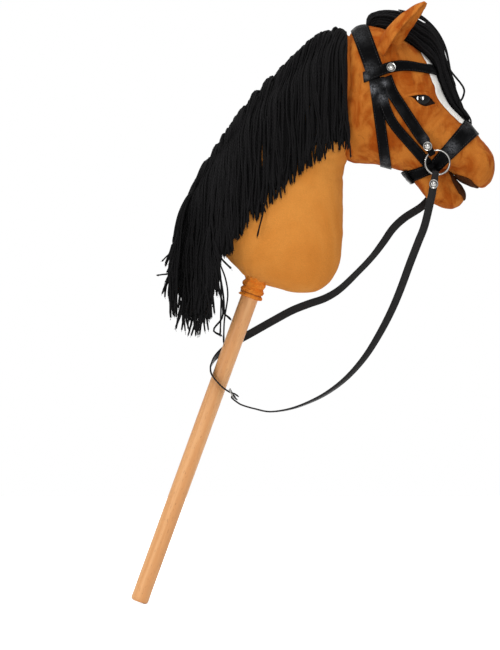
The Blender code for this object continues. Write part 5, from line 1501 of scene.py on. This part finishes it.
def stitch_paths(line, normals, thickness):
    """Four points for each stitch along a line: the ends below the leather's face, the middle just above it."""
    run = run_along(line)
    starts = np.arange(STITCH_PITCH, run[-1] - 2 * STITCH_PITCH, STITCH_PITCH)
    places = starts[:, None] + STITCH_LENGTH * np.array([0.0, 0.2, 0.8, 1.0])
    lift = thickness * 0.30 + 0.0001 * np.array([-2.0, 0.6, 0.6, -2.0])
    spots, ways = (np.stack([np.interp(places, run, column) for column in values.T], axis=-1)
                   for values in (line, normals))
    return spots + ways * lift[:, None]


paths = np.concatenate([stitch_paths(*line) for line in stitch_lines])
points, faces, uv = bundle(paths, 0.00019)
add_piece("stitches", points, faces, seam_thread, uv=uv, tone=np.zeros(len(points)))
print(len(paths), "stitches")

# %% [markdown]
# ## Eyes
#
# Each eye is a glossy black dome that sits in a dark felt almond, with plush lids drawn over its edge. Almond and lids
# are fans of points between an inner and an outer outline, laid on the head's plush with rays.

# %% Eyes and their rims
EYE_OUTLINE = [(181.7, 219.6), (186, 219.9), (191.7, 221), (199.2, 221.3), (203.3, 220.4), (206.1, 219), (209, 216.7),
               (211.3, 213.8), (213.4, 211.2), (209, 209.8), (204.7, 208.3), (200.4, 208.2), (196.4, 209.8),
               (192.9, 212.4), (190, 215.5), (186.8, 218.1), (184, 219.3)]
EYE_MIDDLE, DOME_AT = (198.0, 215.2), (198.9, 217.9)
EYE_RADIUS, EYE_BULGE, EYE_SINK = 0.0087, 0.0042, 0.0016
EYE_SHANK, SHANK_LENGTH = 0.00225, 0.014
RIM_THICKNESS = 0.0009
LID_REACH = 0.0122
LID_PROFILE = [(0.0, 0.25), (0.02, 0.85), (0.06, 1.0), (0.14, 1.0), (0.24, 0.80), (0.32, 0.42), (0.38, 0.46),
               (0.50, 0.46), (0.75, 0.20), (1.0, -0.03)]
LID_DEPTH = 0.0012


def ring_sheet(top, bottom):
    """Points and faces of two layers of a grid whose rows go round; both its borders are closed."""
    rows, rays = top.shape[:2]
    around = grid_faces(rows + 1, rays) % (rows * rays)
    ring = np.arange(rows) * rays
    walls = [np.stack([loop, loop + rows * rays, np.roll(loop, -1) + rows * rays, np.roll(loop, -1)], axis=1)
             for loop in (ring, (ring + rays - 1)[::-1])]
    faces = np.concatenate([around[:, ::-1], around + rows * rays] + walls).tolist()
    return np.concatenate([top.reshape(-1, 3), bottom.reshape(-1, 3)]), faces


def make_eye(which, rows=144, rays=12):
    """A dome on a shank, the felt almond behind it, and the lids: a ridge of plush round the almond's outline.

    Every layer is a fan of points in the side view, laid on the plush. The lid's height over it follows a profile from
    the almond's edge outwards: steeply up, a fold, a second low swelling, and out to nothing.
    """
    tree = skin(head)
    outward = ACROSS_HORSE * which
    middle = side(EYE_MIDDLE)
    spot, normal = (np.array(found) for found in
                    tree.ray_cast(Vector(side(EYE_MIDDLE, which * RAY_START)), Vector(-outward))[:2])

    def on_plush(fan):
        """A fan's points, moved across onto the plush."""
        return fan + outward * heights_over(tree, fan, np.broadcast_to(outward, fan.shape))[..., None]

    outline = smooth_path(side(EYE_OUTLINE), rows, closed=True)
    spokes = outline - middle
    share = np.linspace(0.0, 1.0, rays)[None, :, None]
    fan = middle + unit(spokes)[:, None] * EYE_SHANK * 1.3 * (1 - share) + spokes[:, None] * share * 1.03
    level = on_plush(fan) + normal * LAY_GAP
    thick = RIM_THICKNESS * np.clip((1.0 - share) * 6.0, 0.05, 1.0)
    name = NAMES[which]
    add_piece("eye_almond_" + name, *ring_sheet(level + normal * thick, level), rim_felt, slot="rim_felt",
              stands_for=["eye_rim_" + name])
    step = np.linspace(0.0, 1.0, 30)[None, :] ** 1.4
    away = unit(np.cross(np.roll(outline, -1, axis=0) - np.roll(outline, 1, axis=0), ACROSS_HORSE))
    away = away * np.sign(np.sum(away[0] * spokes[0]))
    out = unit(unit(spokes) + 0.5 * away)
    level = on_plush(outline[:, None] + out[:, None] * (LID_REACH * step)[..., None])
    upper = np.clip(spokes[:, 2] / 0.005, -1.0, 1.0)
    corner = clamped(1.0 - np.abs(spokes[:, 0]) / 0.0165) ** 0.5
    tall = (0.0030 + 0.0018 * upper) * (0.2 + 0.8 * corner)
    rise = np.interp(step, *zip(*LID_PROFILE)) * tall[:, None]
    add_piece("eye_lids_" + name, *ring_sheet(level + outward * rise[..., None], level - outward * LID_DEPTH),
              velour_head, slot="plush_head")
    up = np.radians(np.linspace(0.0, 86.0, 18))
    dome = np.stack([EYE_RADIUS * np.cos(up), 0.0006 + EYE_BULGE * np.sin(up)], axis=1)
    profile = np.concatenate([[(EYE_SHANK, -SHANK_LENGTH), (EYE_SHANK, 0.0), (EYE_RADIUS * 0.95, 0.0)], dome])
    centre = spot + side(DOME_AT) - middle - normal * EYE_SINK
    points, faces = turned(profile, centre, normal, sides=96)
    edge = side(EYE_OUTLINE)
    upper, lower = edge[:9], np.concatenate([edge[8:], edge[:1]])[::-1]
    above = points[:, 2] - np.interp(points[:, 0], upper[:, 0], upper[:, 2])
    below = np.interp(points[:, 0], lower[:, 0], lower[:, 2]) - points[:, 2]
    tucked = np.clip(np.maximum(above, below) - 0.0004, 0.0, 0.0016) * 2.2 * ((points - centre) @ normal > 0.0)
    points = points - tucked[:, None] * normal
    eye = add_piece("eye_dome_" + name, points, faces, eye_gloss, slot="eye_gloss", stands_for=["eye_" + name],
                    sharp=60.0)
    return eye, centre, normal


eyes = [make_eye(which) for which in (NEAR, FAR)]
print("eyes:", 2 * EYE_RADIUS, "m domes; the near one looks along", eyes[0][2].round(3))

# %% [markdown]
# Two softboxes give the pair of bright windows in the near eye. They light nothing but the eyes, and stand where a ray
# from the viewer goes after it meets the dome at those places.

# %% Windows in the eye
WINDOWS = [("window_front", 2.5, (0.58, 1.05)), ("window_left", 36.0, (1.6, 1.6))]
WINDOW_DROP = 0.06
WINDOW_AWAY = 2.4
WINDOW_POWER = 110.0
seen_in = bpy.data.collections.new("eye_domes")
for eye, _, _ in eyes:
    seen_in.objects.link(eye)
centre, normal = eyes[0][1:]
leftwards = unit(np.array([-1.0, 0.0, 0.0]) + normal * normal[0])
for name, degrees, size in WINDOWS:
    facing = unit(normal * math.cos(math.radians(degrees)) + leftwards * math.sin(math.radians(degrees))
                  - np.array([0.0, 0.0, WINDOW_DROP]))
    towards = 2.0 * facing * (-facing[1]) + ACROSS_HORSE
    window = area_lamp(name, "RECTANGLE", size, WINDOW_POWER * math.pi * size[0] * size[1],
                       centre + towards * WINDOW_AWAY, Vector(-towards))
    window.visible_diffuse = window.visible_camera = False
    window.light_linking.receiver_collection = seen_in
print("windows:", [name for name, _, _ in WINDOWS])

# %% [markdown]
# ## The reins
#
# A rein is a flat strap swept along its route. Across it lies the drawn turn of its face.

# %% Reins
CHAPE_ARM = 0.0065
BUCKLE_BAR, BUCKLE_LENGTH, BUCKLE_RISE = 7.0, 9.0, 4.0
BUCKLE_WIRE, PRONG_WIRE, BUCKLE_PLAY = 0.0015, 0.0011, 0.0008
SLOT_SPAN = (6.4, 13.5)


def swept(path, turn, width):
    """Five columns across a strap along a path: the side direction in the side view, turned about the path."""
    along = unit(np.gradient(path, axis=0))
    flat = unit(np.stack([-along[:, 2], np.zeros(len(path)), along[:, 0]], axis=1))
    across = flat * np.cos(turn)[:, None] + np.cross(flat, along) * np.sin(turn)[:, None]
    return path[:, None, :] + across[:, None, :] * (width * np.linspace(-0.5, 0.5, 5))[None, :, None]


def rein_strap(which, grid, in_slot):
    """The strap of one rein; its slot takes the rows whose middle point passes the test."""
    middle, _ = refined(grid, 0.0013)
    normals = sheet_normals(middle, np.broadcast_to(ACROSS_HORSE * which, middle.shape))
    line = middle[:, len(ACROSS_STRAP) // 2]
    rows = np.flatnonzero(in_slot(line))
    name = NAMES[which]
    rein = strap_piece("rein_strap_" + name, middle, normals, rein_leather, REIN_THICKNESS,
                       slot_rows=(int(rows[0]), int(rows[-1])), body=None, slot="bridle_leather",
                       stands_for=["rein_" + name])
    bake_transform(rein)
    return rein


bar = buckle_point(BUCKLE_BAR, 0)
ahead = unit(buckle_point(1, 0) - buckle_point(0, 0))
below = unit(buckle_point(0, 0) - buckle_point(0, 1))
near_path, near_turn = rein_route(rein_starts[NEAR], NEAR_ROUTE, CHAPE_STATIONS)
chape = fold_points(bar, ahead, below, BUCKLE_WIRE / 2 + FIT, 0.0, CHAPE_ARM, CHAPE_ARM, REIN_THICKNESS)
chape_grid = chape[:, None] + ACROSS_HORSE * (REIN_WIDTH * np.linspace(-0.5, 0.5, 5))[None, :, None]
near_rein = rein_strap(NEAR, np.concatenate([swept(near_path, near_turn, REIN_WIDTH), chape_grid]),
                       lambda line: np.linalg.norm(line - bar, axis=1) < 0.0030)
far_path, far_turn = rein_route(rein_starts[FAR], FAR_ROUTE, TAIL_STATIONS)
far_rein = rein_strap(FAR, swept(far_path, far_turn, REIN_WIDTH),
                      lambda line: np.abs((line - buckle_point(np.mean(SLOT_SPAN), 3.3)) @ ahead)
                      + 9.0 * (np.linalg.norm(line - bar, axis=1) > 0.03) < 0.0038)

# %% [markdown]
# The buckle is a bent wire frame; its prong is wound round the rear bar and turns there. Both are one tube along a
# path in one plane.

# %% Buckle
front = buckle_point(BUCKLE_BAR + BUCKLE_LENGTH, BUCKLE_RISE)
along_buckle = unit(front - bar)
buckle_size = np.linalg.norm(front - bar)
face = np.cross(along_buckle, ACROSS_HORSE)
face = face * np.sign(face[2])
half = REIN_WIDTH / 2 + BUCKLE_PLAY + BUCKLE_WIRE / 2
corner_turn = np.radians(np.linspace(0.0, 90.0, 6))
frame_spots = []
for at, y, start in [(buckle_size, half, 0), (0.0, half, 90), (0.0, -half, 180), (buckle_size, -half, 270)]:
    turn = math.radians(start) + corner_turn
    reach = at + BUCKLE_WIRE * (np.cos(turn) + (1.0 if at == 0.0 else -1.0))
    across = y - math.copysign(BUCKLE_WIRE, y) + BUCKLE_WIRE * np.sin(turn)
    frame_spots.append(bar + along_buckle * reach[:, None] + ACROSS_HORSE * across[:, None])
frame_path = smooth_path(np.concatenate(frame_spots), 96, closed=True)
frame_path = np.concatenate([frame_path[48:], frame_path[:49]])
points, faces, _ = bundle(frame_path[None], BUCKLE_WIRE / 2, sides=14, guide=face)
buckle = add_piece("buckle_frame", points, faces, bright_nickel, slot="bright_metal", stands_for=["rein_buckle"])
wound = BUCKLE_WIRE / 2 + FIT + PRONG_WIRE / 2
turn = np.radians(np.arange(-20.0, -271.0, -12.5))[:, None]
prong_spots = np.concatenate([bar + (along_buckle * np.cos(turn) + face * np.sin(turn)) * wound,
                              [bar + face * wound + along_buckle * reach for reach in
                               (0.3 * buckle_size, 0.6 * buckle_size, buckle_size + 0.0015)]])
points, faces, _ = bundle(smooth_path(prong_spots, 70)[None], PRONG_WIRE / 2, sides=12, guide=ACROSS_HORSE)
prong = add_piece("buckle_prong_wire", points, faces, bright_nickel, body="rein_prong", slot="bright_metal",
                  stands_for=["rein_prong"])

# %% [markdown]
# ## The mane
#
# The mane is hundreds of soft twisted cords, sewn to the tape at the crest. Each leaves the tape upwards, loops over
# and hangs straight down, over the widest part of the neck and then free. Ray casts give the bed that the curtain
# lies on, as a grid along the crest and down the side; every cord then reads its path from the bed, lifted by its own
# layer, with waves that it shares with the few cords of its lock.

# %% The bed of the mane
MANE_LOCKS = [(107, 110, 163), (89, 90, 160), (68, 70, 146), (48, 48, 130), (28, 28, 108), (10, 9, 86), (-8, -8, 71),
              (-20, -24, 52), (-28, -34, 36), (-32, -43, 33), (-36, -50, -26), (-45, -60, -50), (-54, -70, -54),
              (-65, -82, -44), (-74, -92, -12)]
HUB_DEPTH = 0.026
ROOT_TURN = math.radians(-10.0)
CREST_ROWS, FALL_ROWS = 10, 16
CORD_RADIUS = 0.0012
TIP_SHIFT = 0.45
ABOVE_HORSE = 2.0


def mane_bed(which, columns=48):
    """Points, ray directions and shares of the way down, for a fan about a hub below the crest, then a straight fall.

    The way out never shrinks on the way down, as cloth hangs plumb from the widest part.
    """
    locks = between(np.array(MANE_LOCKS, float), np.linspace(0, len(MANE_LOCKS) - 1, columns)) * MM
    root, tip, low = locks.T
    tree = skin(neck, head, tape)
    down = np.tile([0.0, 0.0, -1.0], (columns, 1))
    start = np.stack([ENTRY[0] + root, np.zeros(columns), np.full(columns, ABOVE_HORSE)], axis=1)
    hub = cast(tree, start, down)[:, 2] - HUB_DEPTH
    drop = hub - (ENTRY[2] + low)
    rows = np.arange(CREST_ROWS + FALL_ROWS)
    turn = np.interp(rows, [0, CREST_ROWS - 1], [ROOT_TURN, math.pi / 2])[None, :]
    fall = drop[:, None] * np.clip(rows - CREST_ROWS + 1, 0, None)[None, :] / FALL_ROWS
    share = (HUB_DEPTH * (1 - np.cos(turn)) + fall) / (HUB_DEPTH + drop[:, None])
    ahead = ENTRY[0] + root[:, None] + (tip - root)[:, None] * share ** TIP_SHIFT
    centre = np.stack([ahead, 0 * share, hub[:, None] - fall], axis=-1)
    ray = np.broadcast_to(np.stack([0 * turn, which * np.sin(turn), np.cos(turn)], axis=-1), centre.shape)
    found = cast(tree, centre + ray * RAY_START, -ray)
    reach = np.nan_to_num(np.sum((found - centre) * ray, axis=-1))
    wide = np.maximum.accumulate(reach * np.abs(np.sin(turn)), axis=1) * np.sign(np.sin(turn))
    bed = np.stack([centre[..., 0], which * wide, centre[..., 2] + reach * np.cos(turn)], axis=-1)
    return bed, ray


# %% [markdown]
# A lock's cords stay together and draw in towards their tips, which end at ragged heights. A few cords hang plumb
# behind the neck, and a handful have strayed out of the curtain: their lines were drawn after the photograph, and each
# lies at the depth of the cords it passes.

# %% Mane
CORDS_PER_SIDE = 600
INNER_CORDS = 190
CORDS_PER_LOCK = 6
CREST_RUN = 0.085
BACK_SWEEP = 0.010
TUFT_FROM = 0.66
SHORT_IN_TUFT = 0.40
LENGTHS = (0.62, 1.04)
INNER_LAYER, OUTER_LAYER = 0.0012, 0.0064
LOCK_SWAY, OWN_SWAY, TIP_TURN = 0.0026, 0.0017, 0.0042
FIBRE_RADIUS = 0.00022
TAIL_CORDS = 44
TAIL_LINE = [(-56, 126), (-68, 112), (-79, 96), (-86, 74), (-90, 45), (-93, 12), (-94, -20), (-92, -50)]
STRAYS = [
    [(14, 196), (15, 170), (14, 140), (13, 112)], [(16, 150), (13, 108), (8, 78), (5, 66), (2, 53)],
    [(-99, 44), (-101, 37), (-103, 32), (-107, 28), (-111, 24)],
    [(-45, 40), (-43, 23), (-36, 4), (-33, -17), (-37, -46), (-38, -73)],
    [(-46, 36), (-44, 19), (-41, -4), (-41, -28), (-42, -64)],
    [(-48, 20), (-43, -10), (-39, -30), (-40, -44), (-50, -58), (-40, -65)],
    [(-48, 46), (-45, 34), (-39, 25), (-29, 15)], [(-49, 30), (-42, 5), (-38, -20), (-37, -38), (-33, -42), (-29, -46)],
    [(-98, 26), (-100, 16), (-104, 9), (-111, 8), (-117, 7)],
    [(-92, 60), (-98, 38), (-103, 16), (-101, -10), (-102, -23)],
    [(-84, 10), (-86, -20), (-88, -37), (-95, -55)], [(-58, -10), (-55, -34), (-62, -46), (-69, -57)],
    [(106, 190), (110, 172), (112, 160), (113, 147)],
]


def random_for(which, seed):
    """One random source for each side, so that the sides differ and every run is the same."""
    return np.random.default_rng(seed + which)


def read_grids(row, column, *grids):
    """Each grid between the four points nearest to these fractional rows and columns."""
    rows, columns = grids[0].shape[:2]
    i, j = np.minimum(row.astype(int), rows - 2), np.minimum(column.astype(int), columns - 2)
    u, v = (row - i)[..., None], (column - j)[..., None]
    return [(grid[i, j] * (1 - v) + grid[i, j + 1] * v) * (1 - u)
            + (grid[i + 1, j] * (1 - v) + grid[i + 1, j + 1] * v) * u for grid in grids]


def mane_cords(which, stations=26):
    """Paths of one side's cords: bed plus lift along the ray, plus waves along the crest, at shares of the way down."""
    random = random_for(which, 40)
    bed, ray = mane_bed(which)
    total = CORDS_PER_SIDE
    locks = total // CORDS_PER_LOCK
    lock = np.repeat(np.arange(locks), CORDS_PER_LOCK)
    spot = (lock + random.uniform(0.0, 1.0, total)) / locks
    inner = random.permutation(total) < INNER_CORDS
    spot[inner] = np.sort(spot[inner]) * 0.2 + 0.8 * (np.arange(INNER_CORDS) + 0.5) / INNER_CORDS
    centre = np.where(inner, spot, (lock + 0.5) / locks)
    own = random.uniform(-1.0, 1.0, (4, total))
    own[[1, 3]] *= np.where(inner, 0.3, 1.0)
    shared = random.uniform(-1.0, 1.0, (5, locks))[:, lock] * np.where(inner, 0.15, 1.0)
    way = np.linspace(0.0, 1.0, stations)[None, :] ** 1.25
    free = clamped((spot - TUFT_FROM) / (1.0 - TUFT_FROM))
    longer = 1.0 + (0.03 * shared[0] + 0.07 * own[0]) * (1.0 + 0.6 * free) - 0.05 * inner
    longer -= free * SHORT_IN_TUFT * np.abs(own[2])
    place_down = way * (CREST_ROWS + FALL_ROWS - 1) * np.clip(longer, *LENGTHS)[:, None]
    crest_share = clamped(place_down / (CREST_ROWS - 1))
    run = CREST_RUN * (1.0 + 0.5 * shared[1] + 0.3 * own[3])[:, None] * (1.0 - crest_share) ** 1.5
    drawn_in = spot[:, None] + (centre - spot)[:, None] * 0.12 * way ** 2 - run
    along = clamped(drawn_in + 0.006 * shared[1][:, None] * np.sin(3.0 * way + 6.0 * shared[2][:, None]))
    arch = np.sqrt(1.0 - (2.0 * ((along * 8.0 + 0.5 * np.sin(along * 17.0)) % 1.0) - 1.0) ** 2 + 1e-9)
    along = along * (len(bed) - 1)
    at_bed, at_ray = read_grids(along, place_down, bed, ray)
    layer = random.uniform(0.0, 1.0, total) ** 0.8 * np.where(inner, INNER_LAYER, OUTER_LAYER) + CORD_RADIUS
    loop = (0.0015 + 0.0075 * random.uniform(0.0, 1.0, total) ** 1.4)[:, None]
    crest = np.sin(math.pi * clamped(crest_share / 0.62))
    raised = (loop * (0.3 + 0.7 * arch) + 0.0045 * arch) * np.clip(along / 3.0, 0.3, 1.0) * crest
    lift = layer[:, None] * crest_share ** 0.7 + raised - 0.0008 * (way == 0)
    paths = at_bed + unit(at_ray) * lift[..., None]
    hanging = clamped((place_down - 3.0) / 12.0)
    sway = (LOCK_SWAY * shared[3][:, None] * np.sin(7.0 * way + 9.0 * shared[4][:, None])
            + OWN_SWAY * own[1][:, None] * np.sin(15.0 * way + 5.0 * own[2][:, None])) * hanging
    sway = sway + TIP_TURN * own[3][:, None] * clamped(5.0 * way - 4.0) ** 2
    paths[..., 0] += sway * (1.0 + free[:, None]) - BACK_SWEEP * (free[:, None] * (1.0 - np.exp(-place_down / 3.0)))
    paths[..., 1] += which * 0.0008 * own[3][:, None] * np.sin(19.0 * way + 4.0 * own[1][:, None]) * hanging
    return paths


def tail_cords(which, stations=26):
    """Cords that fall plumb behind the neck, between the curtains: a drawn line, spread sideways on the way down."""
    random = random_for(which, 80)
    side_share, depth, wave = random.uniform(0.0, 1.0, (3, TAIL_CORDS, 1))
    share = random.uniform(0.0, 0.12, (TAIL_CORDS, 1)) + (np.linspace(0.0, 1.0, stations)[None, :]
                                                          * random.uniform(0.66, 0.88, (TAIL_CORDS, 1)))
    drawn = smooth_path(side(TAIL_LINE), 120)
    grown = np.sin(clamped(share * 2.4) * math.pi / 2)
    wavy = 0.003 * np.sin(8.0 * share + 6.0 * wave) * share
    ahead = evenly(drawn[:, 0], share) - (0.001 + 0.006 * depth) * grown + wavy
    return np.stack([ahead, which * (0.0012 + 0.036 * side_share * grown), evenly(drawn[:, 2], share)], -1)


def on_curtain(stray, paths):
    """The stray's path in the side view, at the depth of the outermost cord near each of its points."""
    path = smooth_path(side(stray), paths.shape[1])
    near = paths[:, ::2].reshape(-1, 3)
    away = np.linalg.norm(path[:, None, [0, 2]] - near[None][..., [0, 2]], axis=-1)
    depth = np.where(away < np.maximum(away.min(axis=1, keepdims=True) + 0.003, 0.008), near[:, 1], 0.0).min(axis=1)
    path[:, 1] = np.convolve(np.pad(depth, 3, mode="edge"), np.full(7, 1 / 7), "valid") - 0.001
    return path


def frayed(paths, random, fibres=2, length=0.0020):
    """A few thin fibres that go on from each cord's tip and spread."""
    tip = np.repeat(paths[:, -1], fibres, axis=0)
    way = np.repeat(unit(paths[:, -1] - paths[:, -3]), fibres, axis=0)
    spread = way + 0.35 * random.normal(size=way.shape)
    steps = np.linspace(-0.2, 1.0, 4)[None, :, None]
    bent = way[:, None] * (1 - steps) + spread[:, None] * steps
    return tip[:, None] + bent * steps * length * random.uniform(0.5, 1.3, (len(tip), 1, 1))


def yarn_piece(name, paths, random, node):
    """Cords with rounded, slightly thinner tips and their fibres, as one mesh; each cord has its own tone."""
    stations = paths.shape[1]
    taper = np.interp(np.arange(stations), [0, 1, stations - 3, stations - 2, stations - 1],
                      [0.8, 1.0, 0.95, 1.2, 0.85])
    thick = CORD_RADIUS * random.uniform(0.86, 1.1, (len(paths), 1)) * taper
    points, faces, uv = bundle(paths, thick)
    tone = np.repeat(random.uniform(0.0, 1.0, len(paths)), stations * 5)
    thin_points, thin_faces, thin_uv = bundle(frayed(paths, random), FIBRE_RADIUS, sides=3)
    faces += [[index + len(points) for index in thin] for thin in thin_faces]
    tone = np.concatenate([tone, np.full(len(thin_points), 0.6)])
    return add_piece(name, np.concatenate([points, thin_points]), faces, mane_yarn, uv=np.concatenate([uv, thin_uv]),
                     tone=tone, slot="mane_yarn", stands_for=[node])


for which in (NEAR, FAR):
    paths = np.concatenate([mane_cords(which), tail_cords(which)])
    if which == NEAR:
        paths = np.concatenate([paths, [on_curtain(stray, paths) for stray in STRAYS]])
    mane = yarn_piece("mane_cords_" + NAMES[which], paths, random_for(which, 50), "mane_" + NAMES[which])
    print(mane.name, len(paths), "cords,", len(mane.data.polygons), "faces")

# %% [markdown]
# The forelock is a smaller bundle of the same cords. It stands up between the ears, falls forward and hangs down the
# face over the browband. Its bed is found along the inner edge of the tuft; the cords fill the space up to its outer
# edge. Both edges were drawn after the photograph, as thirteen points each.

# %% Forelock
LOCK_INNER = [(138, 299), (146, 300), (155, 300), (166, 297), (178, 290), (190, 280), (200, 268), (210, 251),
              (217, 235), (225, 218), (233, 208), (242, 199), (249, 191)]
LOCK_OUTER = [(132, 301), (135, 315), (145, 323), (161, 326), (179, 324), (192, 316), (205, 304), (216, 286),
              (225, 260), (233, 238), (242, 219), (250, 204), (256, 194)]
LOCK_WIDTHS = [0.007, 0.009, 0.012, 0.014, 0.0145, 0.0145, 0.014, 0.013, 0.012, 0.011, 0.010, 0.008, 0.006]
LOCK_CORDS = 170
LOCK_ROWS, LOCK_COLUMNS = 40, 15
LOCK_STRAYS = [
    [(225, 268), (231, 252), (247, 231), (247, 220), (242, 210), (248, 201), (253, 196)],
    [(226, 240), (238, 216), (249, 198), (255, 188), (259, 181)],
    [(222, 262), (231, 238), (240, 214), (250, 202), (256, 192), (256, 183)],
    [(170, 323), (190, 318), (203, 309), (214, 298), (222, 284), (228, 268), (232, 250), (238, 232)],
    [(174, 322), (193, 318), (207, 308), (218, 295), (226, 279), (230, 262), (233, 244)],
    [(176, 318), (196, 313), (208, 304), (216, 290), (224, 272), (230, 254), (236, 238)],
]


def forelock_cords(stations=32):
    """The bed under the inner edge, plus each cord's share of the way to the outer edge, less at the tuft's sides."""
    random = random_for(0, 60)
    every = np.linspace(0, len(LOCK_INNER) - 1, LOCK_ROWS)
    inner, outer = (between(side(line), every) for line in (LOCK_INNER, LOCK_OUTER))
    wide = np.interp(every, np.arange(len(LOCK_WIDTHS)), LOCK_WIDTHS)
    ways = np.broadcast_to(unit(outer - inner)[:, None], (LOCK_ROWS, LOCK_COLUMNS, 3)).copy()
    offset = wide[:, None] * np.linspace(-1.0, 1.0, LOCK_COLUMNS)
    middle = inner[:, None] + ACROSS_HORSE * offset[..., None]
    heights = heights_over(skin(head, blaze, browband, crown), middle, ways, 0.05)
    rooted = clamped(every / 2.0)[:, None]
    deepest = np.interp(every, [0, 2, 3, 6, 8, 12], [-0.001, -0.001, -0.006, -0.006, -0.002, -0.002])[:, None]
    bed = middle + ways * (np.clip(heights, deepest - 0.7 * np.abs(offset), 0.006) * rooted)[..., None]
    deep = np.linalg.norm(outer - inner, axis=1) - 2 * CORD_RADIUS
    total = LOCK_CORDS
    lane = np.clip(random.normal(0.0, 0.5, total), -1.0, 1.0)[:, None]
    layer = random.uniform(0.0, 1.0, total)[:, None] ** 0.7 * np.sqrt(1.0 - 0.7 * lane ** 2)
    way = np.linspace(0.0, 1.0, stations)[None, :]
    start = 0.06 * random.uniform(0.0, 1.0, total)[:, None] * (1.0 - layer)
    end = (0.88 + 0.12 * random.uniform(-1.0, 1.0, total))[:, None]
    place = (start + (end - start) * way) * (LOCK_ROWS - 1)
    sway = 0.12 * np.sin(5.0 * way + 6.0 * random.uniform(0, 1, total)[:, None]) * way
    column = (np.clip(lane * (1.0 - 0.25 * way) + sway, -1.0, 1.0) + 1.0) * (LOCK_COLUMNS // 2)
    at_bed, at_way = read_grids(place, column, bed, ways)
    gathered = 1.0 - 0.25 * way ** 3 * random.uniform(-0.6, 1.0, total)[:, None]
    lift = CORD_RADIUS + layer * np.interp(place, np.arange(LOCK_ROWS), deep) * gathered
    return at_bed + at_way * (lift + 0.0008 * np.sin(11.0 * way + 9.0 * lane))[..., None]


paths = forelock_cords()
drawn = [smooth_path(side(stray, -0.005 + 0.003 * k), paths.shape[1]) for k, stray in enumerate(LOCK_STRAYS)]
forelock = yarn_piece("forelock_cords", np.concatenate([paths, drawn]), random_for(0, 70), "forelock")
print("forelock:", len(paths) + len(drawn), "cords,", len(forelock.data.polygons), "faces")

# %% [markdown]
# ## What is left of the imported model
#
# The two lock washers inside the head can't be seen. They keep their imported shape and get their plastic.

# %% Washers
for which in (NEAR, FAR):
    bpy.data.objects["eye_washer_" + NAMES[which]].data.materials[0] = washer_plastic
